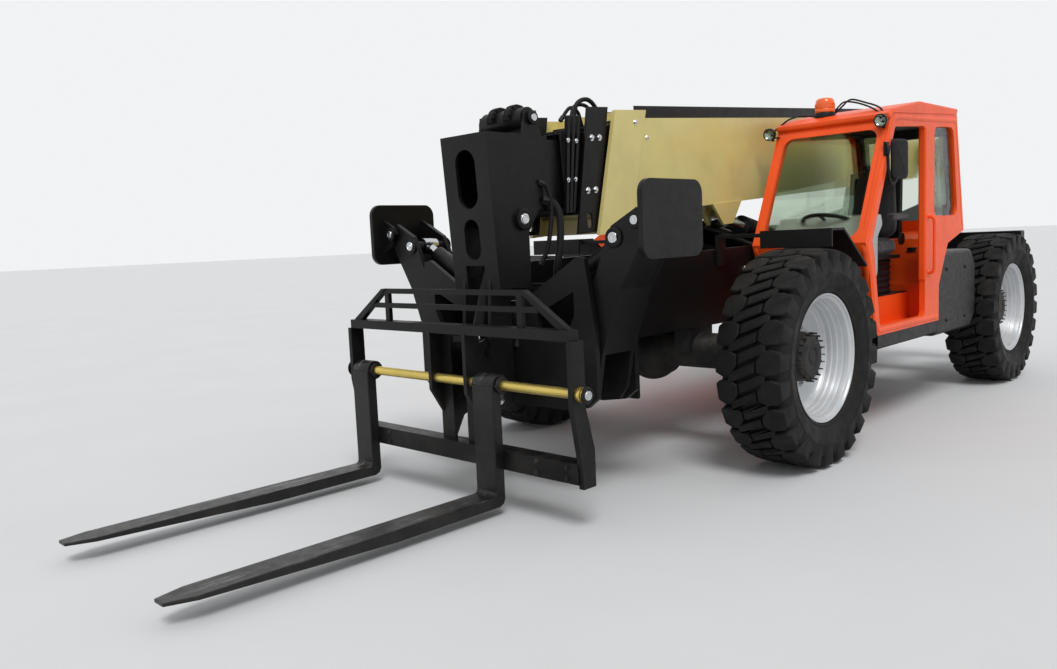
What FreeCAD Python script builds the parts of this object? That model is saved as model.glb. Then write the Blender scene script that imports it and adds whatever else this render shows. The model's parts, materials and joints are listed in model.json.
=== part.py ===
import FreeCAD, Part
import math
import os

from FreeCAD import Vector

# A rough-terrain telehandler: a two-axle carrier with an open cab on its left side, a four-section
# telescopic boom over the middle, a fork carriage at its head and two stabilizers ahead of the front
# wheels. It is parked with the boom retracted and lowered and the forks just above the ground.
# Millimetres. +X forward, +Y to the machine's left, +Z up, ground at Z = 0.
# Places along X are measured from the front axle; the whole model is then moved along X so that its
# origin lies under the middle of its length.

# Carrier
wheelbase = 3560.0
overall_width = 2570.0
tyre_radius = 645.0
tyre_width = 400.0
rim_radius = 381.0
bead_radius = 350.0
tread_depth = 33.0
tread_pitches = 24
rim_half = 156.0
rear_overhang = 950.0
frame_half_width = 400.0
frame_plate = 30.0
frame_bottom = 800.0
frame_front = 1000.0
frame_shoulder = 1270.0
tower_rise = 130.0
kingpin_inset = 165.0
axle_radius = 115.0
counterweight_half = 1100.0
belly_thickness = 25.0
hitch_radius = 16.0

# Boom, measured in its own plane from its rear pivot: u along the boom, v square to it, upwards
boom_pivot_x = -4150.0
boom_pivot_z = 2080.0
boom_droop = 4.0
boom_middle_v = 68.0
boom_wall = 10.0
boom_pin_radius = 50.0
collar_length = 300.0
tray_height = 90.0
head_half_width = 180.0
head_cheek = 20.0
head_front_u = 5792.0
head_rear_u = 5324.0
roller_u = 5437.0
roller_v = 370.0
roller_radius = 62.0

# Lift cylinders, in pairs under the boom
lift_y = 200.0
lift_base_x = -3000.0
lift_base_z = 980.0
lift_eye_u = 3631.0
lift_eye_v = -327.0
lift_eye_half = 45.0
lift_pin_radius = 40.0
lift_barrel_radius = 80.0
lift_rod_radius = 50.0

# Fork carriage
tilt_x = 1620.0
tilt_z = 560.0
tilt_lever = 280.0
tilt_pin_u = 5576.0
tilt_pin_v = -172.0
tilt_pin_radius = 35.0
tilt_eye_half = 40.0
tilt_barrel_radius = 42.0
tilt_rod_radius = 25.0
carriage_half_width = 895.0
carriage_rear_x = 1740.0
shaft_x = 1800.0
shaft_z = 680.0
shaft_radius = 25.0
top_rail_z = 930.0
backrest_top_z = 1165.0
backrest_half_width = 575.0
fork_length = 1700.0
fork_width = 150.0
fork_thickness = 60.0
fork_heel_z = 50.0
fork_left_y = 290.0
fork_right_y = -780.0

# Stabilizers: pivots in Y and Z of the left one
stab_x = 1260.0
leg_pivot_y = 580.0
leg_pivot_z = 620.0
leg_pin_radius = 35.0
pad_pivot_y = 970.0
pad_pivot_z = 1480.0
pad_pin_radius = 25.0
stab_eye_y = 810.0
stab_eye_z = 1400.0
stab_eye_half = 50.0
stab_base_y = 100.0
stab_base_z = 1000.0
stab_pin_radius = 30.0
leg_gap = 210.0
leg_plate = 30.0
housing_plate = 30.0
housing_half_width = 700.0
pad_width = 500.0
pad_height = 380.0
pad_thickness = 30.0
stab_barrel_radius = 50.0
stab_rod_radius = 28.0

# Cab
cab_left_y = 1220.0
cab_frame_gap = 25.0
cab_wall = 40.0
cab_nose_x = -600.0
cab_foot_x = -1870.0
cab_back_x = -2390.0
cab_sill_z = 690.0
cab_floor_z = 900.0
cab_belt_z = 1300.0
cab_roof_front_z = 2090.0
cab_roof_rear_z = 2200.0
glass_thickness = 6.0
seat_x = -1700.0
window_corner = 70.0
mirror_turn = 14.0
mirror_arm_radius = 10.0
lamp_radius = 43.0
lamp_depth = 58.0
beacon_radius = 66.0

# Engine pod on the right
pod_front_x = -800.0
pod_wheel_gap = 135.0
pod_outer_y = -1215.0
pod_bottom_z = 650.0
pod_split_z = 900.0
pod_top_z = 1450.0
hood_wall = 8.0
louvre_count = 6
louvre_pitch = 38.0
louvre_height = 16.0
louvre_length = 420.0
hood_hinge_inset = 35.0
hood_hinge_rise = 25.0
hood_pin_radius = 10.0

# Clearances
running_gap = 0.3
pin_gap = 0.05
side_gap = 5.0

front_reach = shaft_x + fork_thickness + fork_length
rear_x = -wheelbase - rear_overhang
origin_x = (front_reach + rear_x) / 2.0
wheel_y = (overall_width - tyre_width) / 2.0
kingpin_y = wheel_y - kingpin_inset
axle_z = tyre_radius
frame_inner_y = frame_half_width - frame_plate
cab_right_y = frame_half_width + cab_frame_gap
pod_inner_y = -frame_half_width - cab_frame_gap
pod_rear_x = -wheelbase + tyre_radius + pod_wheel_gap
fender_z = 2 * tyre_radius + 110.0
frame_rear_x = rear_x + 170.0

hood_hinge_y = pod_inner_y - hood_hinge_inset
hood_hinge_z = pod_top_z + hood_hinge_rise


# Basic forms

def box(x0, x1, y0, y1, z0, z1):
    low = Vector(min(x0, x1), min(y0, y1), min(z0, z1))
    return Part.makeBox(abs(x1 - x0), abs(y1 - y0), abs(z1 - z0), low)


def outline_face(points):
    return Part.Face(Part.makePolygon(points + [points[0]]))


def side_plate(points, y0, y1):
    # An outline in X and Z, as thick as y0 to y1.
    face = outline_face([Vector(x, min(y0, y1), z) for x, z in points])
    return face.extrude(Vector(0, abs(y1 - y0), 0))


def cross_plate(points, x0, x1):
    # An outline in Y and Z, as thick as x0 to x1.
    face = outline_face([Vector(min(x0, x1), y, z) for y, z in points])
    return face.extrude(Vector(abs(x1 - x0), 0, 0))


def deck_plate(points, z0, z1):
    # An outline in X and Y, as thick as z0 to z1.
    face = outline_face([Vector(x, y, z0) for x, y in points])
    return face.extrude(Vector(0, 0, z1 - z0))


def rod_between(start, end, radius):
    a, b = Vector(*start), Vector(*end)
    return Part.makeCylinder(radius, (b - a).Length, a, b - a)


def rod_along(start, end, near, far, radius):
    # A round bar on the line from start to end, between two distances from start.
    a, b = Vector(*start), Vector(*end)
    direction = (b - a).normalize()
    return Part.makeCylinder(radius, far - near, a + direction * near, direction)


def bar_y(x, z, radius, y0, y1):
    return Part.makeCylinder(radius, abs(y1 - y0), Vector(x, min(y0, y1), z), Vector(0, 1, 0))


def bar_x(y, z, radius, x0, x1):
    return Part.makeCylinder(radius, abs(x1 - x0), Vector(min(x0, x1), y, z), Vector(1, 0, 0))


def fuse(first, *others):
    return first.fuse(list(others)).removeSplitter()


def mirrored(shape):
    # The same piece on the machine's other side.
    return shape.mirror(Vector(0, 0, 0), Vector(0, 1, 0))


def group(*shapes):
    return Part.makeCompound(list(shapes))


def revolved_y(profile):
    # A profile of (radius, offset along Y) turned about the Y axis.
    face = outline_face([Vector(r, offset, 0) for r, offset in profile])
    solid = face.revolve(Vector(0, 0, 0), Vector(0, 1, 0), 360)
    if solid.Volume < 0:
        solid.reverse()
    return solid


# Boom plane: u runs forward along the boom and v stands square to it

droop = math.radians(boom_droop)


def boom_point(u, v):
    x = boom_pivot_x + u * math.cos(droop) + v * math.sin(droop)
    z = boom_pivot_z - u * math.sin(droop) + v * math.cos(droop)
    return x, z


def boom_uv(x, z):
    dx, dz = x - boom_pivot_x, z - boom_pivot_z
    u = dx * math.cos(droop) - dz * math.sin(droop)
    v = dx * math.sin(droop) + dz * math.cos(droop)
    return u, v


def boom_plate(points, y0, y1):
    return side_plate([boom_point(u, v) for u, v in points], y0, y1)


def boom_block(u0, u1, y0, y1, v0, v1):
    return boom_plate([(u0, v0), (u1, v0), (u1, v1), (u0, v1)], y0, y1)


def boom_bar(u, v, radius, y0, y1):
    x, z = boom_point(u, v)
    return bar_y(x, z, radius, y0, y1)


# Boom sections, each a rectangular tube inside the one before it:
# rear u, front u at the top, half width, height, how much further the mouth reaches at the bottom
section_table = [(120.0, 4790.0, 260.0, 578.0, 190.0),
                 (250.0, 5010.0, 235.0, 500.0, 140.0),
                 (320.0, 5240.0, 205.0, 430.0, 0.0),
                 (390.0, head_rear_u, 175.0, 360.0, 0.0)]
pad_length = 160.0


def section_faces(index):
    rear, front, half, height, slant = section_table[index]
    return rear, front, half, boom_middle_v - height / 2, boom_middle_v + height / 2, slant


# Carrier frame

def frame_outline():
    # x, z of one side plate, from the nose back to the tower that holds the boom's pivot
    return [(frame_front, frame_bottom), (frame_front, frame_shoulder - 120),
            (frame_front - 120, frame_shoulder), (-470, frame_shoulder + 30),
            (-1300, frame_shoulder + 60), (-2600, frame_shoulder + 130),
            (boom_pivot_x + 330, frame_shoulder + 330), (boom_pivot_x + 150, boom_pivot_z + 20),
            (boom_pivot_x + 90, boom_pivot_z + tower_rise), (boom_pivot_x - 90, boom_pivot_z + tower_rise),
            (boom_pivot_x - 160, boom_pivot_z + 20), (frame_rear_x, frame_shoulder + 60),
            (frame_rear_x, frame_bottom)]


def frame_side_plates():
    boss_inner = section_table[0][2] + 24
    plate = side_plate(frame_outline(), frame_inner_y, frame_half_width)
    boss = bar_y(boom_pivot_x, boom_pivot_z, 105, boss_inner, frame_half_width + 20)
    lift_boss = bar_y(lift_base_x, lift_base_z, 75, lift_y + lift_barrel_radius + side_gap,
                      frame_half_width + 12)
    hole = bar_y(boom_pivot_x, boom_pivot_z, boom_pin_radius, boss_inner - 5, frame_half_width + 30)
    lift_hole = bar_y(lift_base_x, lift_base_z, lift_pin_radius + pin_gap, 0, frame_half_width + 20)
    plate = fuse(plate, boss, lift_boss).cut([hole, lift_hole])
    return group(plate, mirrored(plate))


def frame_crossmembers():
    # The belly plate and its bulkheads, the pin of both lift cylinders and the cab's brackets.
    y = frame_inner_y
    belly = box(frame_rear_x, frame_front, -y, y, frame_bottom, frame_bottom + belly_thickness)
    walls = [box(x, x + 25, -y, y, frame_bottom, top) for x, top in
             ((frame_front - 25, frame_shoulder - 125), (-620, frame_shoulder - 60),
              (-3420, frame_shoulder - 60), (frame_rear_x, frame_shoulder + 40))]
    solid = fuse(belly, *walls)
    pin = bar_y(lift_base_x, lift_base_z, lift_pin_radius, -frame_half_width - 12, frame_half_width + 12)
    brackets = [box(x, x + 160, frame_half_width, cab_right_y, frame_bottom + 20, frame_bottom + 200)
                for x in (-1750, -1050)]
    return group(solid, pin, *brackets)


def counterweight():
    low, high = frame_bottom - 150, frame_shoulder + 30
    w = counterweight_half
    slab = deck_plate([(frame_rear_x, -w), (rear_x + 60, -w), (rear_x, -w + 120), (rear_x, w - 120),
                       (rear_x + 60, w), (frame_rear_x, w)], low, high)
    slab = slab.cut(box(rear_x - 1, rear_x + 90, -200, 200, low - 1, low + 320))
    jaws = [box(rear_x + 10, rear_x + 95, -75, 75, low + 90 + z, low + 115 + z) for z in (0, 150)]
    hole = Part.makeCylinder(hitch_radius, 245, Vector(rear_x + 45, 0, low + 65), Vector(0, 0, 1))
    return fuse(slab, *jaws).cut(hole)


# Axles, steering knuckles and wheels

yoke_low, yoke_high = 130.0, 170.0
yoke_end = 65.0
yoke_root_y = kingpin_y - 140.0


def axle_housing(x):
    beam = bar_y(x, axle_z, axle_radius, -yoke_root_y - 20, yoke_root_y + 20)
    pieces = [Part.makeSphere(185, Vector(x, 0, axle_z - 35))]
    for side in (-1, 1):
        root, end_y = side * yoke_root_y, side * kingpin_y
        for z0 in (axle_z + yoke_low, axle_z - yoke_high):
            z1 = z0 + yoke_high - yoke_low
            pieces.append(box(x - yoke_end, x + yoke_end, root, end_y, z0, z1))
            pieces.append(Part.makeCylinder(yoke_end, z1 - z0, Vector(x, end_y, z0)))
        pieces.append(box(x - yoke_end, x + yoke_end, root, root + side * 30, axle_z - yoke_high,
                          axle_z + yoke_high))
        pieces.append(box(x - 130, x + 130, side * (frame_half_width - 130), side * (frame_half_width - 10),
                          axle_z, frame_bottom))
    return fuse(beam, *pieces)


def axle_housings():
    return group(axle_housing(0.0), axle_housing(-wheelbase))


hub_inner, hub_outer = -35.0, 75.0


def knuckle(x, side):
    # A steering knuckle: a barrel between the axle's yoke plates, the flange and spindle that carry
    # the wheel, and a steering arm towards the middle of the machine.
    half = yoke_low - running_gap
    barrel = Part.makeCylinder(75, 2 * half, Vector(x, side * kingpin_y, axle_z - half))
    neck = bar_y(x, axle_z, 90, side * kingpin_y, side * (kingpin_y + 90))
    flange = bar_y(x, axle_z, 150, side * (kingpin_y + 80), side * (wheel_y + hub_inner - 8))
    spindle = bar_y(x, axle_z, 60, side * kingpin_y, side * (wheel_y + hub_inner - running_gap))
    inward = 1 if x < -wheelbase / 2 else -1
    arm = box(x, x + inward * 160, side * (kingpin_y - 30), side * (kingpin_y + 20), axle_z - 60,
              axle_z - 25)
    return fuse(barrel, neck, flange, spindle, arm)


def wheel(side):
    # The rim, its dished disc and the planetary hub, turned from one section of radius and offset.
    seat = bead_radius - running_gap
    section = [(rim_radius, rim_half), (rim_radius, rim_half - 8), (seat, rim_half - 20),
               (seat, 20 - rim_half), (rim_radius, 8 - rim_half), (rim_radius, -rim_half),
               (seat - 12, -rim_half), (seat - 16, -40), (seat - 60, -15), (150, -15), (150, hub_inner),
               (0, hub_inner), (0, hub_outer), (100, hub_outer), (120, hub_outer - 12), (128, 40), (150, 40),
               (150, 12), (seat - 90, 12), (seat - 34, 34), (seat - 18, 80), (seat - 12, rim_half)]
    return revolved_y([(r, side * y) for r, y in section])


def tyre_profile():
    # radius and offset from the tyre's middle plane, once round the section
    crown = tyre_radius - tread_depth
    half = tyre_width / 2.0
    bead = bead_radius / math.cos(math.pi / tread_pitches) + running_gap
    right = [(bead, rim_half - 30), (rim_radius + 16, rim_half - 16), (rim_radius + 26, rim_half + 10),
             (500, half), (crown - 14, half - 15), (crown, half - 45)]
    left = [(r, -y) for r, y in reversed(right)]
    return right + left


def facet_ring(profile, count):
    # A closed ring with flat faces: the profile is turned by equal steps about Y.
    rings = []
    for step in range(count):
        angle = 2 * math.pi * (step + 0.5) / count
        rings.append([Vector(r * math.sin(angle), y, -r * math.cos(angle)) for r, y in profile])
    faces = []
    for step in range(count):
        here, there = rings[step], rings[(step + 1) % count]
        for k in range(len(profile)):
            nxt = (k + 1) % len(profile)
            faces.append(outline_face([here[k], here[nxt], there[nxt], there[k]]))
    solid = Part.Solid(Part.Shell(faces))
    if solid.Volume < 0:
        solid.reverse()
    return solid


def tread_bar(side):
    # One bar of the half on +Y (side 1) or -Y (side -1), at the bottom of the wheel: it slants from
    # the shoulder to the middle and has a flat top at the tyre's radius.
    half = tyre_width / 2.0
    root = tyre_radius - tread_depth - 60
    corners = [(side * (half - 8), -42), (side * (half - 8), 6), (side * 9, 42), (side * 9, -6)]
    face = outline_face([Vector(place, y, -root) for y, place in corners])
    return face.extrude(Vector(0, 0, root - tyre_radius))


def tyre_pattern():
    bars = []
    for side, phase in ((1, 0.0), (-1, 0.5)):
        bar = tread_bar(side)
        for step in range(tread_pitches):
            copy = bar.copy()
            copy.rotate(Vector(0, 0, 0), Vector(0, 1, 0), 360.0 * (step + phase) / tread_pitches)
            bars.append(copy)
    return facet_ring(tyre_profile(), tread_pitches).fuse(bars)


# Stabilizers

housing_gap = leg_gap / 2 + leg_plate + 10


def stabilizer_housing():
    # Two plates across the frame's nose, each of a middle and two wings that rise outwards, with the
    # floor between them and the pins of legs and cylinders.
    w, mid = housing_half_width, stab_base_y + 90
    x_rear, x_front = stab_x - housing_gap, stab_x + housing_gap
    low, high = leg_pivot_z - 120, stab_base_z + 75
    window = [(300, 860), (480, 860), (560, 1010), (560, 1130), (300, 1010)]
    wing = [(mid, low), (470, low), (leg_pivot_y + 50, leg_pivot_z - 95), (w, leg_pivot_z - 40),
            (w, leg_pivot_z + 300), (w - 60, stab_base_z + 300), (w - 110, stab_base_z + 310), (mid, high)]
    floor = box(frame_front, x_front, -mid, mid, low, low + 20)
    front = box(frame_front, frame_front + 25, -w + 60, w - 60, low + 10, frame_shoulder - 150)
    pieces = [box(x_rear - housing_plate, x_rear, -mid, mid, low, high),
              box(x_front, x_front + housing_plate, -mid, mid, low, high), front]
    wings = []
    for side in (-1, 1):
        pieces.append(box(frame_front, x_rear - housing_plate, side * frame_inner_y, side * frame_half_width,
                          low + 10, frame_shoulder - 170))
        pieces.append(bar_x(side * stab_base_y, stab_base_z, stab_pin_radius, x_rear - housing_plate - 15,
                            x_front + housing_plate + 6))
        outline = [(side * y, z) for y, z in wing]
        for end, x in ((-1, x_rear - housing_plate), (1, x_front)):
            plate = cross_plate(outline, x, x + housing_plate)
            if end > 0:
                hole = cross_plate([(side * y, z) for y, z in window], x - 5, x + housing_plate + 5)
                plate = plate.cut(hole)
            pin = bar_x(side * leg_pivot_y, leg_pivot_z, leg_pin_radius, stab_x + end * (leg_gap / 2 + 1),
                        stab_x + end * (housing_gap + housing_plate + 6))
            wings.append(fuse(plate, pin))
    return group(fuse(floor, *pieces), *wings)


def leg_outline():
    # y, z of the left leg's plates, from the foot boss up the outer edge to the pad's pivot and back
    return [(leg_pivot_y - 90, leg_pivot_z - 20), (leg_pivot_y - 40, leg_pivot_z - 85),
            (leg_pivot_y + 40, leg_pivot_z - 85), (leg_pivot_y + 88, leg_pivot_z - 20), (705, 800),
            (835, 1140), (pad_pivot_y + 55, pad_pivot_z - 30), (pad_pivot_y + 40, pad_pivot_z + 45),
            (pad_pivot_y - 20, pad_pivot_z + 62), (stab_eye_y - 20, stab_eye_z + 58),
            (stab_eye_y - 58, stab_eye_z - 15), (560, 930), (leg_pivot_y - 90, leg_pivot_z + 40)]


def stabilizer_leg():
    # Two plates tied together along the outer edge, with stub pins for the cylinder and the pad.
    inner, outer = leg_gap / 2, leg_gap / 2 + leg_plate
    pieces = [cross_plate([(705, 800), (835, 1140), (946, 1325), (926, 1338), (812, 1150), (682, 808)],
                          stab_x - inner, stab_x + inner)]
    for end in (-1, 1):
        plate = cross_plate(leg_outline(), stab_x + end * inner, stab_x + end * outer)
        hole = bar_x(leg_pivot_y, leg_pivot_z, leg_pin_radius + pin_gap, stab_x + end * (inner - 5),
                     stab_x + end * (outer + 5))
        pieces.append(plate.cut(hole))
        pieces.append(bar_x(stab_eye_y, stab_eye_z, stab_pin_radius,
                            stab_x + end * (stab_eye_half + side_gap), stab_x + end * (outer + 8)))
        pieces.append(bar_x(pad_pivot_y, pad_pivot_z, pad_pin_radius, stab_x + end * inner,
                            stab_x + end * (outer + 40)))
    return fuse(pieces[0], *pieces[1:])


def stabilizer_pad():
    # The foot plate, standing on edge while stowed, with two ears outside the leg's plates.
    inner_y = pad_pivot_y + 75
    low_z = pad_pivot_z - pad_height / 2
    plate = box(stab_x - pad_width / 2, stab_x + pad_width / 2, inner_y, inner_y + pad_thickness, low_z,
                low_z + pad_height)
    plate = plate.makeFillet(70, [e for e in plate.Edges if abs(e.tangentAt(0).y) > 0.9])
    ears = []
    for end in (-1, 1):
        x0 = stab_x + end * (leg_gap / 2 + leg_plate + side_gap)
        x1 = x0 + end * 25
        ear = cross_plate([(inner_y, pad_pivot_z - 110), (inner_y, pad_pivot_z + 90),
                           (pad_pivot_y - 20, pad_pivot_z + 42), (pad_pivot_y - 45, pad_pivot_z),
                           (pad_pivot_y - 20, pad_pivot_z - 42)], x0, x1)
        hole = bar_x(pad_pivot_y, pad_pivot_z, pad_pin_radius + pin_gap, x0 - end * 5, x1 + end * 5)
        ears.append(ear.cut(hole))
    return fuse(plate, *ears)


stab_base = (stab_x, stab_base_y, stab_base_z)
stab_tip = (stab_x, stab_eye_y, stab_eye_z)
stab_length = math.dist(stab_base, stab_tip)


def stabilizer_barrel():
    eye = bar_x(stab_base_y, stab_base_z, 60, stab_x - 50, stab_x + 50)
    barrel = rod_along(stab_base, stab_tip, 20, stab_length - 110, stab_barrel_radius)
    bore = rod_along(stab_base, stab_tip, 70, stab_length, stab_rod_radius + pin_gap)
    pin = bar_x(stab_base_y, stab_base_z, stab_pin_radius + pin_gap, stab_x - 60, stab_x + 60)
    return fuse(eye, barrel).cut([bore, pin])


def stabilizer_rod():
    eye = bar_x(stab_eye_y, stab_eye_z, 48, stab_x - stab_eye_half, stab_x + stab_eye_half)
    rod = rod_along(stab_base, stab_tip, 80, stab_length - 20, stab_rod_radius)
    return fuse(eye, rod).cut(bar_x(stab_eye_y, stab_eye_z, 30, stab_x - 60, stab_x + 60))


# Boom

def section_tube(index):
    rear, front, half, low, high, slant = section_faces(index)
    outer = boom_plate([(rear, low), (front + slant, low), (front, high), (rear, high)], -half, half)
    w, far = boom_wall, front + slant + 50
    inner = boom_plate([(rear - 5, low + w), (far, low + w), (far, high - w), (rear - 5, high - w)],
                       -half + w, half - w)
    return outer.cut(inner)


def mouth_pads(index):
    # Slide pads inside the mouth of a section, against the outside of the next one.
    _, front, half, low, high, slant = section_faces(index)
    _, _, next_half, next_low, next_high, _ = section_faces(index + 1)
    u0, u1 = front - pad_length - 30, front - 30
    w, gap = boom_wall, running_gap
    reach = next_half - 30
    pads = [boom_block(u0 + slant, u1 + slant, -reach, reach, low + w, next_low - gap),
            boom_block(u0, u1, -reach, reach, next_high + gap, high - w)]
    for side in (-1, 1):
        pads.append(boom_block(u0, u1, side * (next_half + gap), side * (half - w), next_low + 40,
                               next_high - 40))
    return pads


def tail_pads(index):
    # Slide pads on the tail of a section, against the inside of the one around it.
    rear, _, half, low, high, _ = section_faces(index)
    _, _, around_half, around_low, around_high, _ = section_faces(index - 1)
    u0, u1 = rear + 20, rear + 20 + pad_length
    w, gap = boom_wall, running_gap
    reach = half - 30
    pads = [boom_block(u0, u1, -reach, reach, around_low + w + gap, low),
            boom_block(u0, u1, -reach, reach, high, around_high - w - gap)]
    for side in (-1, 1):
        pads.append(boom_block(u0, u1, side * half, side * (around_half - w - gap), low + 40, high - 40))
    return pads


def slanted_cheek(index, top_u, bottom_u, length, rise, drop, thickness, side):
    # A plate on one side of a section's mouth, higher and lower than the section itself.
    _, _, half, low, high, _ = section_faces(index)
    points = [(top_u - length, high + rise), (top_u, high + rise), (bottom_u, low - drop),
              (bottom_u - length, low - drop)]
    return boom_plate(points, side * half, side * (half + thickness))


def boom_outer():
    rear, _, half, low, high, _ = section_faces(0)
    pin_end = frame_half_width + 20
    pieces = [boom_bar(0, 0, boom_pin_radius - pin_gap, -pin_end, pin_end)]
    heel = [(-110, -50), (-50, -110), (rear + 60, low), (rear + 110, low), (rear + 110, high),
            (rear, high), (-60, 110), (-110, 50)]
    lug = [(lift_eye_u - 190, low + 5), (lift_eye_u + 190, low + 5), (lift_eye_u + 60, lift_eye_v - 40),
           (lift_eye_u - 60, lift_eye_v - 40)]
    for side in (-1, 1):
        pieces.append(slanted_cheek(0, 4823, 5054, collar_length, 45, 90, 25, side))
        pieces.append(boom_plate(heel, side * (half - 40), side * half))
        for y in (lift_y - lift_eye_half - side_gap - 22, lift_y + lift_eye_half + side_gap):
            pieces.append(boom_plate(lug, side * y, side * (y + 22)))
    pieces.append(boom_block(4693, 4723, -half, half, high, high + 45))
    pieces.append(boom_block(4910, 4940, -half, half, low - 90, low))
    return fuse(section_tube(0), *(pieces + mouth_pads(0)))


def boom_second():
    cheeks = [slanted_cheek(1, 5032, 5202, 185, 105, 110, 14, side) for side in (-1, 1)]
    _, _, half, low, _, _ = section_faces(1)
    hole = boom_block(5065, 5115, -half - 20, half + 20, low - 60, low - 20)
    ends = [boom_bar(5090, v, 25, -half - 20, half + 20) for v in (low - 60, low - 20)]
    body = fuse(section_tube(1), *(cheeks + mouth_pads(1) + tail_pads(1)))
    return body.cut([hole] + ends)


# u of the top and of the bottom of the upright guides on each side of the third section
guide_table = [(5075.0, 5185.0), (5120.0, 5215.0), (5165.0, 5245.0)]
guide_width = 22.0


def boom_third():
    _, _, half, low, high, _ = section_faces(2)
    guides = []
    for side in (-1, 1):
        for top_u, bottom_u in guide_table:
            guides.append(boom_plate([(top_u, high + 95), (top_u + guide_width, high + 95),
                                      (bottom_u + guide_width, low - 20), (bottom_u, low - 20)],
                                     side * half, side * (half + 25)))
    return fuse(section_tube(2), *(mouth_pads(2) + tail_pads(2) + guides))


def boom_inner():
    return fuse(section_tube(3), *tail_pads(3))


def boom_head():
    # A box of two cheeks with a pierced front plate, over two narrow lugs that hold the carriage.
    _, _, _, low, high, _ = section_faces(3)
    pivot_u, pivot_v = boom_uv(tilt_x, tilt_z)
    rear, front = head_rear_u, head_front_u
    cheek = [(rear, high + 22), (front, high + 56), (front, -527), (front - 240, -544),
             (front - 262, -245), (rear + 116, low - 20), (rear, low - 20)]
    lug = [(front - 145, -470), (pivot_u - 172, pivot_v + 28), (pivot_u - 114, pivot_v - 88),
           (pivot_u + 70, pivot_v - 80), (pivot_u + 84, pivot_v + 50), (front + 48, pivot_v + 290),
           (front, -470)]
    hole = bar_y(tilt_x, tilt_z, tilt_pin_radius + pin_gap, -200, 200)
    inner = head_half_width - head_cheek
    pin_end = head_half_width + 18
    pieces = [boom_bar(tilt_pin_u, tilt_pin_v, tilt_pin_radius, -pin_end, pin_end),
              boom_bar(roller_u, roller_v, roller_radius, -inner, inner),
              boom_bar(roller_u, roller_v, 22, -pin_end, pin_end)]
    for side in (-1, 1):
        pieces.append(boom_plate([(roller_u - 75, high + 10), (roller_u + 75, high + 20),
                                  (roller_u + 45, roller_v + 40), (roller_u - 45, roller_v + 40)],
                                 side * inner, side * head_half_width))
        pieces.append(boom_bar(tilt_pin_u, tilt_pin_v, 62, side * head_half_width,
                               side * (head_half_width + 10)))
        pieces.append(boom_plate(cheek, side * inner, side * head_half_width))
        pieces.append(boom_plate(lug, side * 90, side * 115).cut(hole))
        pieces.append(boom_block(front - 145, front, side * 90, side * inner, -527, -505))
    windows = [boom_block(front - 60, front + 40, -75, 75, -560, -398)]
    forward = Vector(math.cos(droop), 0, -math.sin(droop))
    for v0, v1, radius in ((-90, 225, 78), (-368, -146, 60)):
        windows.append(boom_block(front - 60, front + 40, -radius, radius, v0 + radius, v1 - radius))
        for v in (v0 + radius, v1 - radius):
            x, z = boom_point(front - 60, v)
            windows.append(Part.makeCylinder(radius, 100, Vector(x, 0, z), forward))
    plate = boom_block(front - 22, front, -inner, inner, -527, high + 54).cut(windows)
    roof = boom_plate([(rear, high + 2), (front, high + 36), (front, high + 56), (rear, high + 22)],
                      -inner, inner)
    back = boom_block(rear, rear + 20, -inner, inner, low - 20, high + 2)
    return fuse(plate, roof, back, *pieces)


def hose_tray():
    # A folded tray on top of the outer section, with a cover over its middle.
    _, front, _, _, high, _ = section_faces(0)
    u0, u1 = 150.0, front - 330
    floor = boom_block(u0, u1, -150, 150, high, high + 8)
    walls = [boom_block(u0, u1, side * 142, side * 150, high, high + tray_height) for side in (-1, 1)]
    cover = boom_block(u0 + 900, u1 - 700, -150, 150, high + tray_height - 8, high + tray_height)
    return fuse(floor, cover, *walls)


# Lift cylinders

lift_tip_x, lift_tip_z = boom_point(lift_eye_u, lift_eye_v)
lift_length = math.hypot(lift_tip_x - lift_base_x, lift_tip_z - lift_base_z)


def lift_barrel(y):
    base, tip = (lift_base_x, y, lift_base_z), (lift_tip_x, y, lift_tip_z)
    eye = bar_y(lift_base_x, lift_base_z, 78, y - 55, y + 55)
    barrel = rod_along(base, tip, 60, lift_length - 280, lift_barrel_radius)
    bore = rod_along(base, tip, 120, lift_length, lift_rod_radius + pin_gap)
    pin = bar_y(lift_base_x, lift_base_z, lift_pin_radius + pin_gap, y - 70, y + 70)
    return fuse(eye, barrel).cut([bore, pin])


def lift_barrels():
    return group(lift_barrel(-lift_y), lift_barrel(lift_y))


def lift_rod(y):
    base, tip = (lift_base_x, y, lift_base_z), (lift_tip_x, y, lift_tip_z)
    eye = bar_y(lift_tip_x, lift_tip_z, 62, y - lift_eye_half, y + lift_eye_half)
    rod = rod_along(base, tip, 130, lift_length - 20, lift_rod_radius)
    return fuse(eye, rod).cut(bar_y(lift_tip_x, lift_tip_z, 34, y - 60, y + 60))


def lift_rods():
    return group(lift_rod(-lift_y), lift_rod(lift_y))


# Tilt cylinder, inside the boom head

tilt_base_x, tilt_base_z = boom_point(tilt_pin_u, tilt_pin_v)
tilt_base = (tilt_base_x, 0, tilt_base_z)
tilt_eye = (tilt_x, 0, tilt_z + tilt_lever)
tilt_length = math.dist(tilt_base, tilt_eye)


def tilt_barrel():
    eye = bar_y(tilt_base_x, tilt_base_z, 55, -tilt_eye_half, tilt_eye_half)
    barrel = rod_along(tilt_base, tilt_eye, 30, tilt_length - 105, tilt_barrel_radius)
    bore = rod_along(tilt_base, tilt_eye, 60, tilt_length, tilt_rod_radius + pin_gap)
    pin = bar_y(tilt_base_x, tilt_base_z, tilt_pin_radius + pin_gap, -60, 60)
    return fuse(eye, barrel).cut([bore, pin])


def tilt_rod():
    x, _, z = tilt_eye
    rod = rod_along(tilt_base, tilt_eye, 120, tilt_length - 20, tilt_rod_radius)
    return fuse(bar_y(x, z, 45, -50, 50), rod).cut(bar_y(x, z, 26, -60, 60))


# Fork carriage

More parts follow.
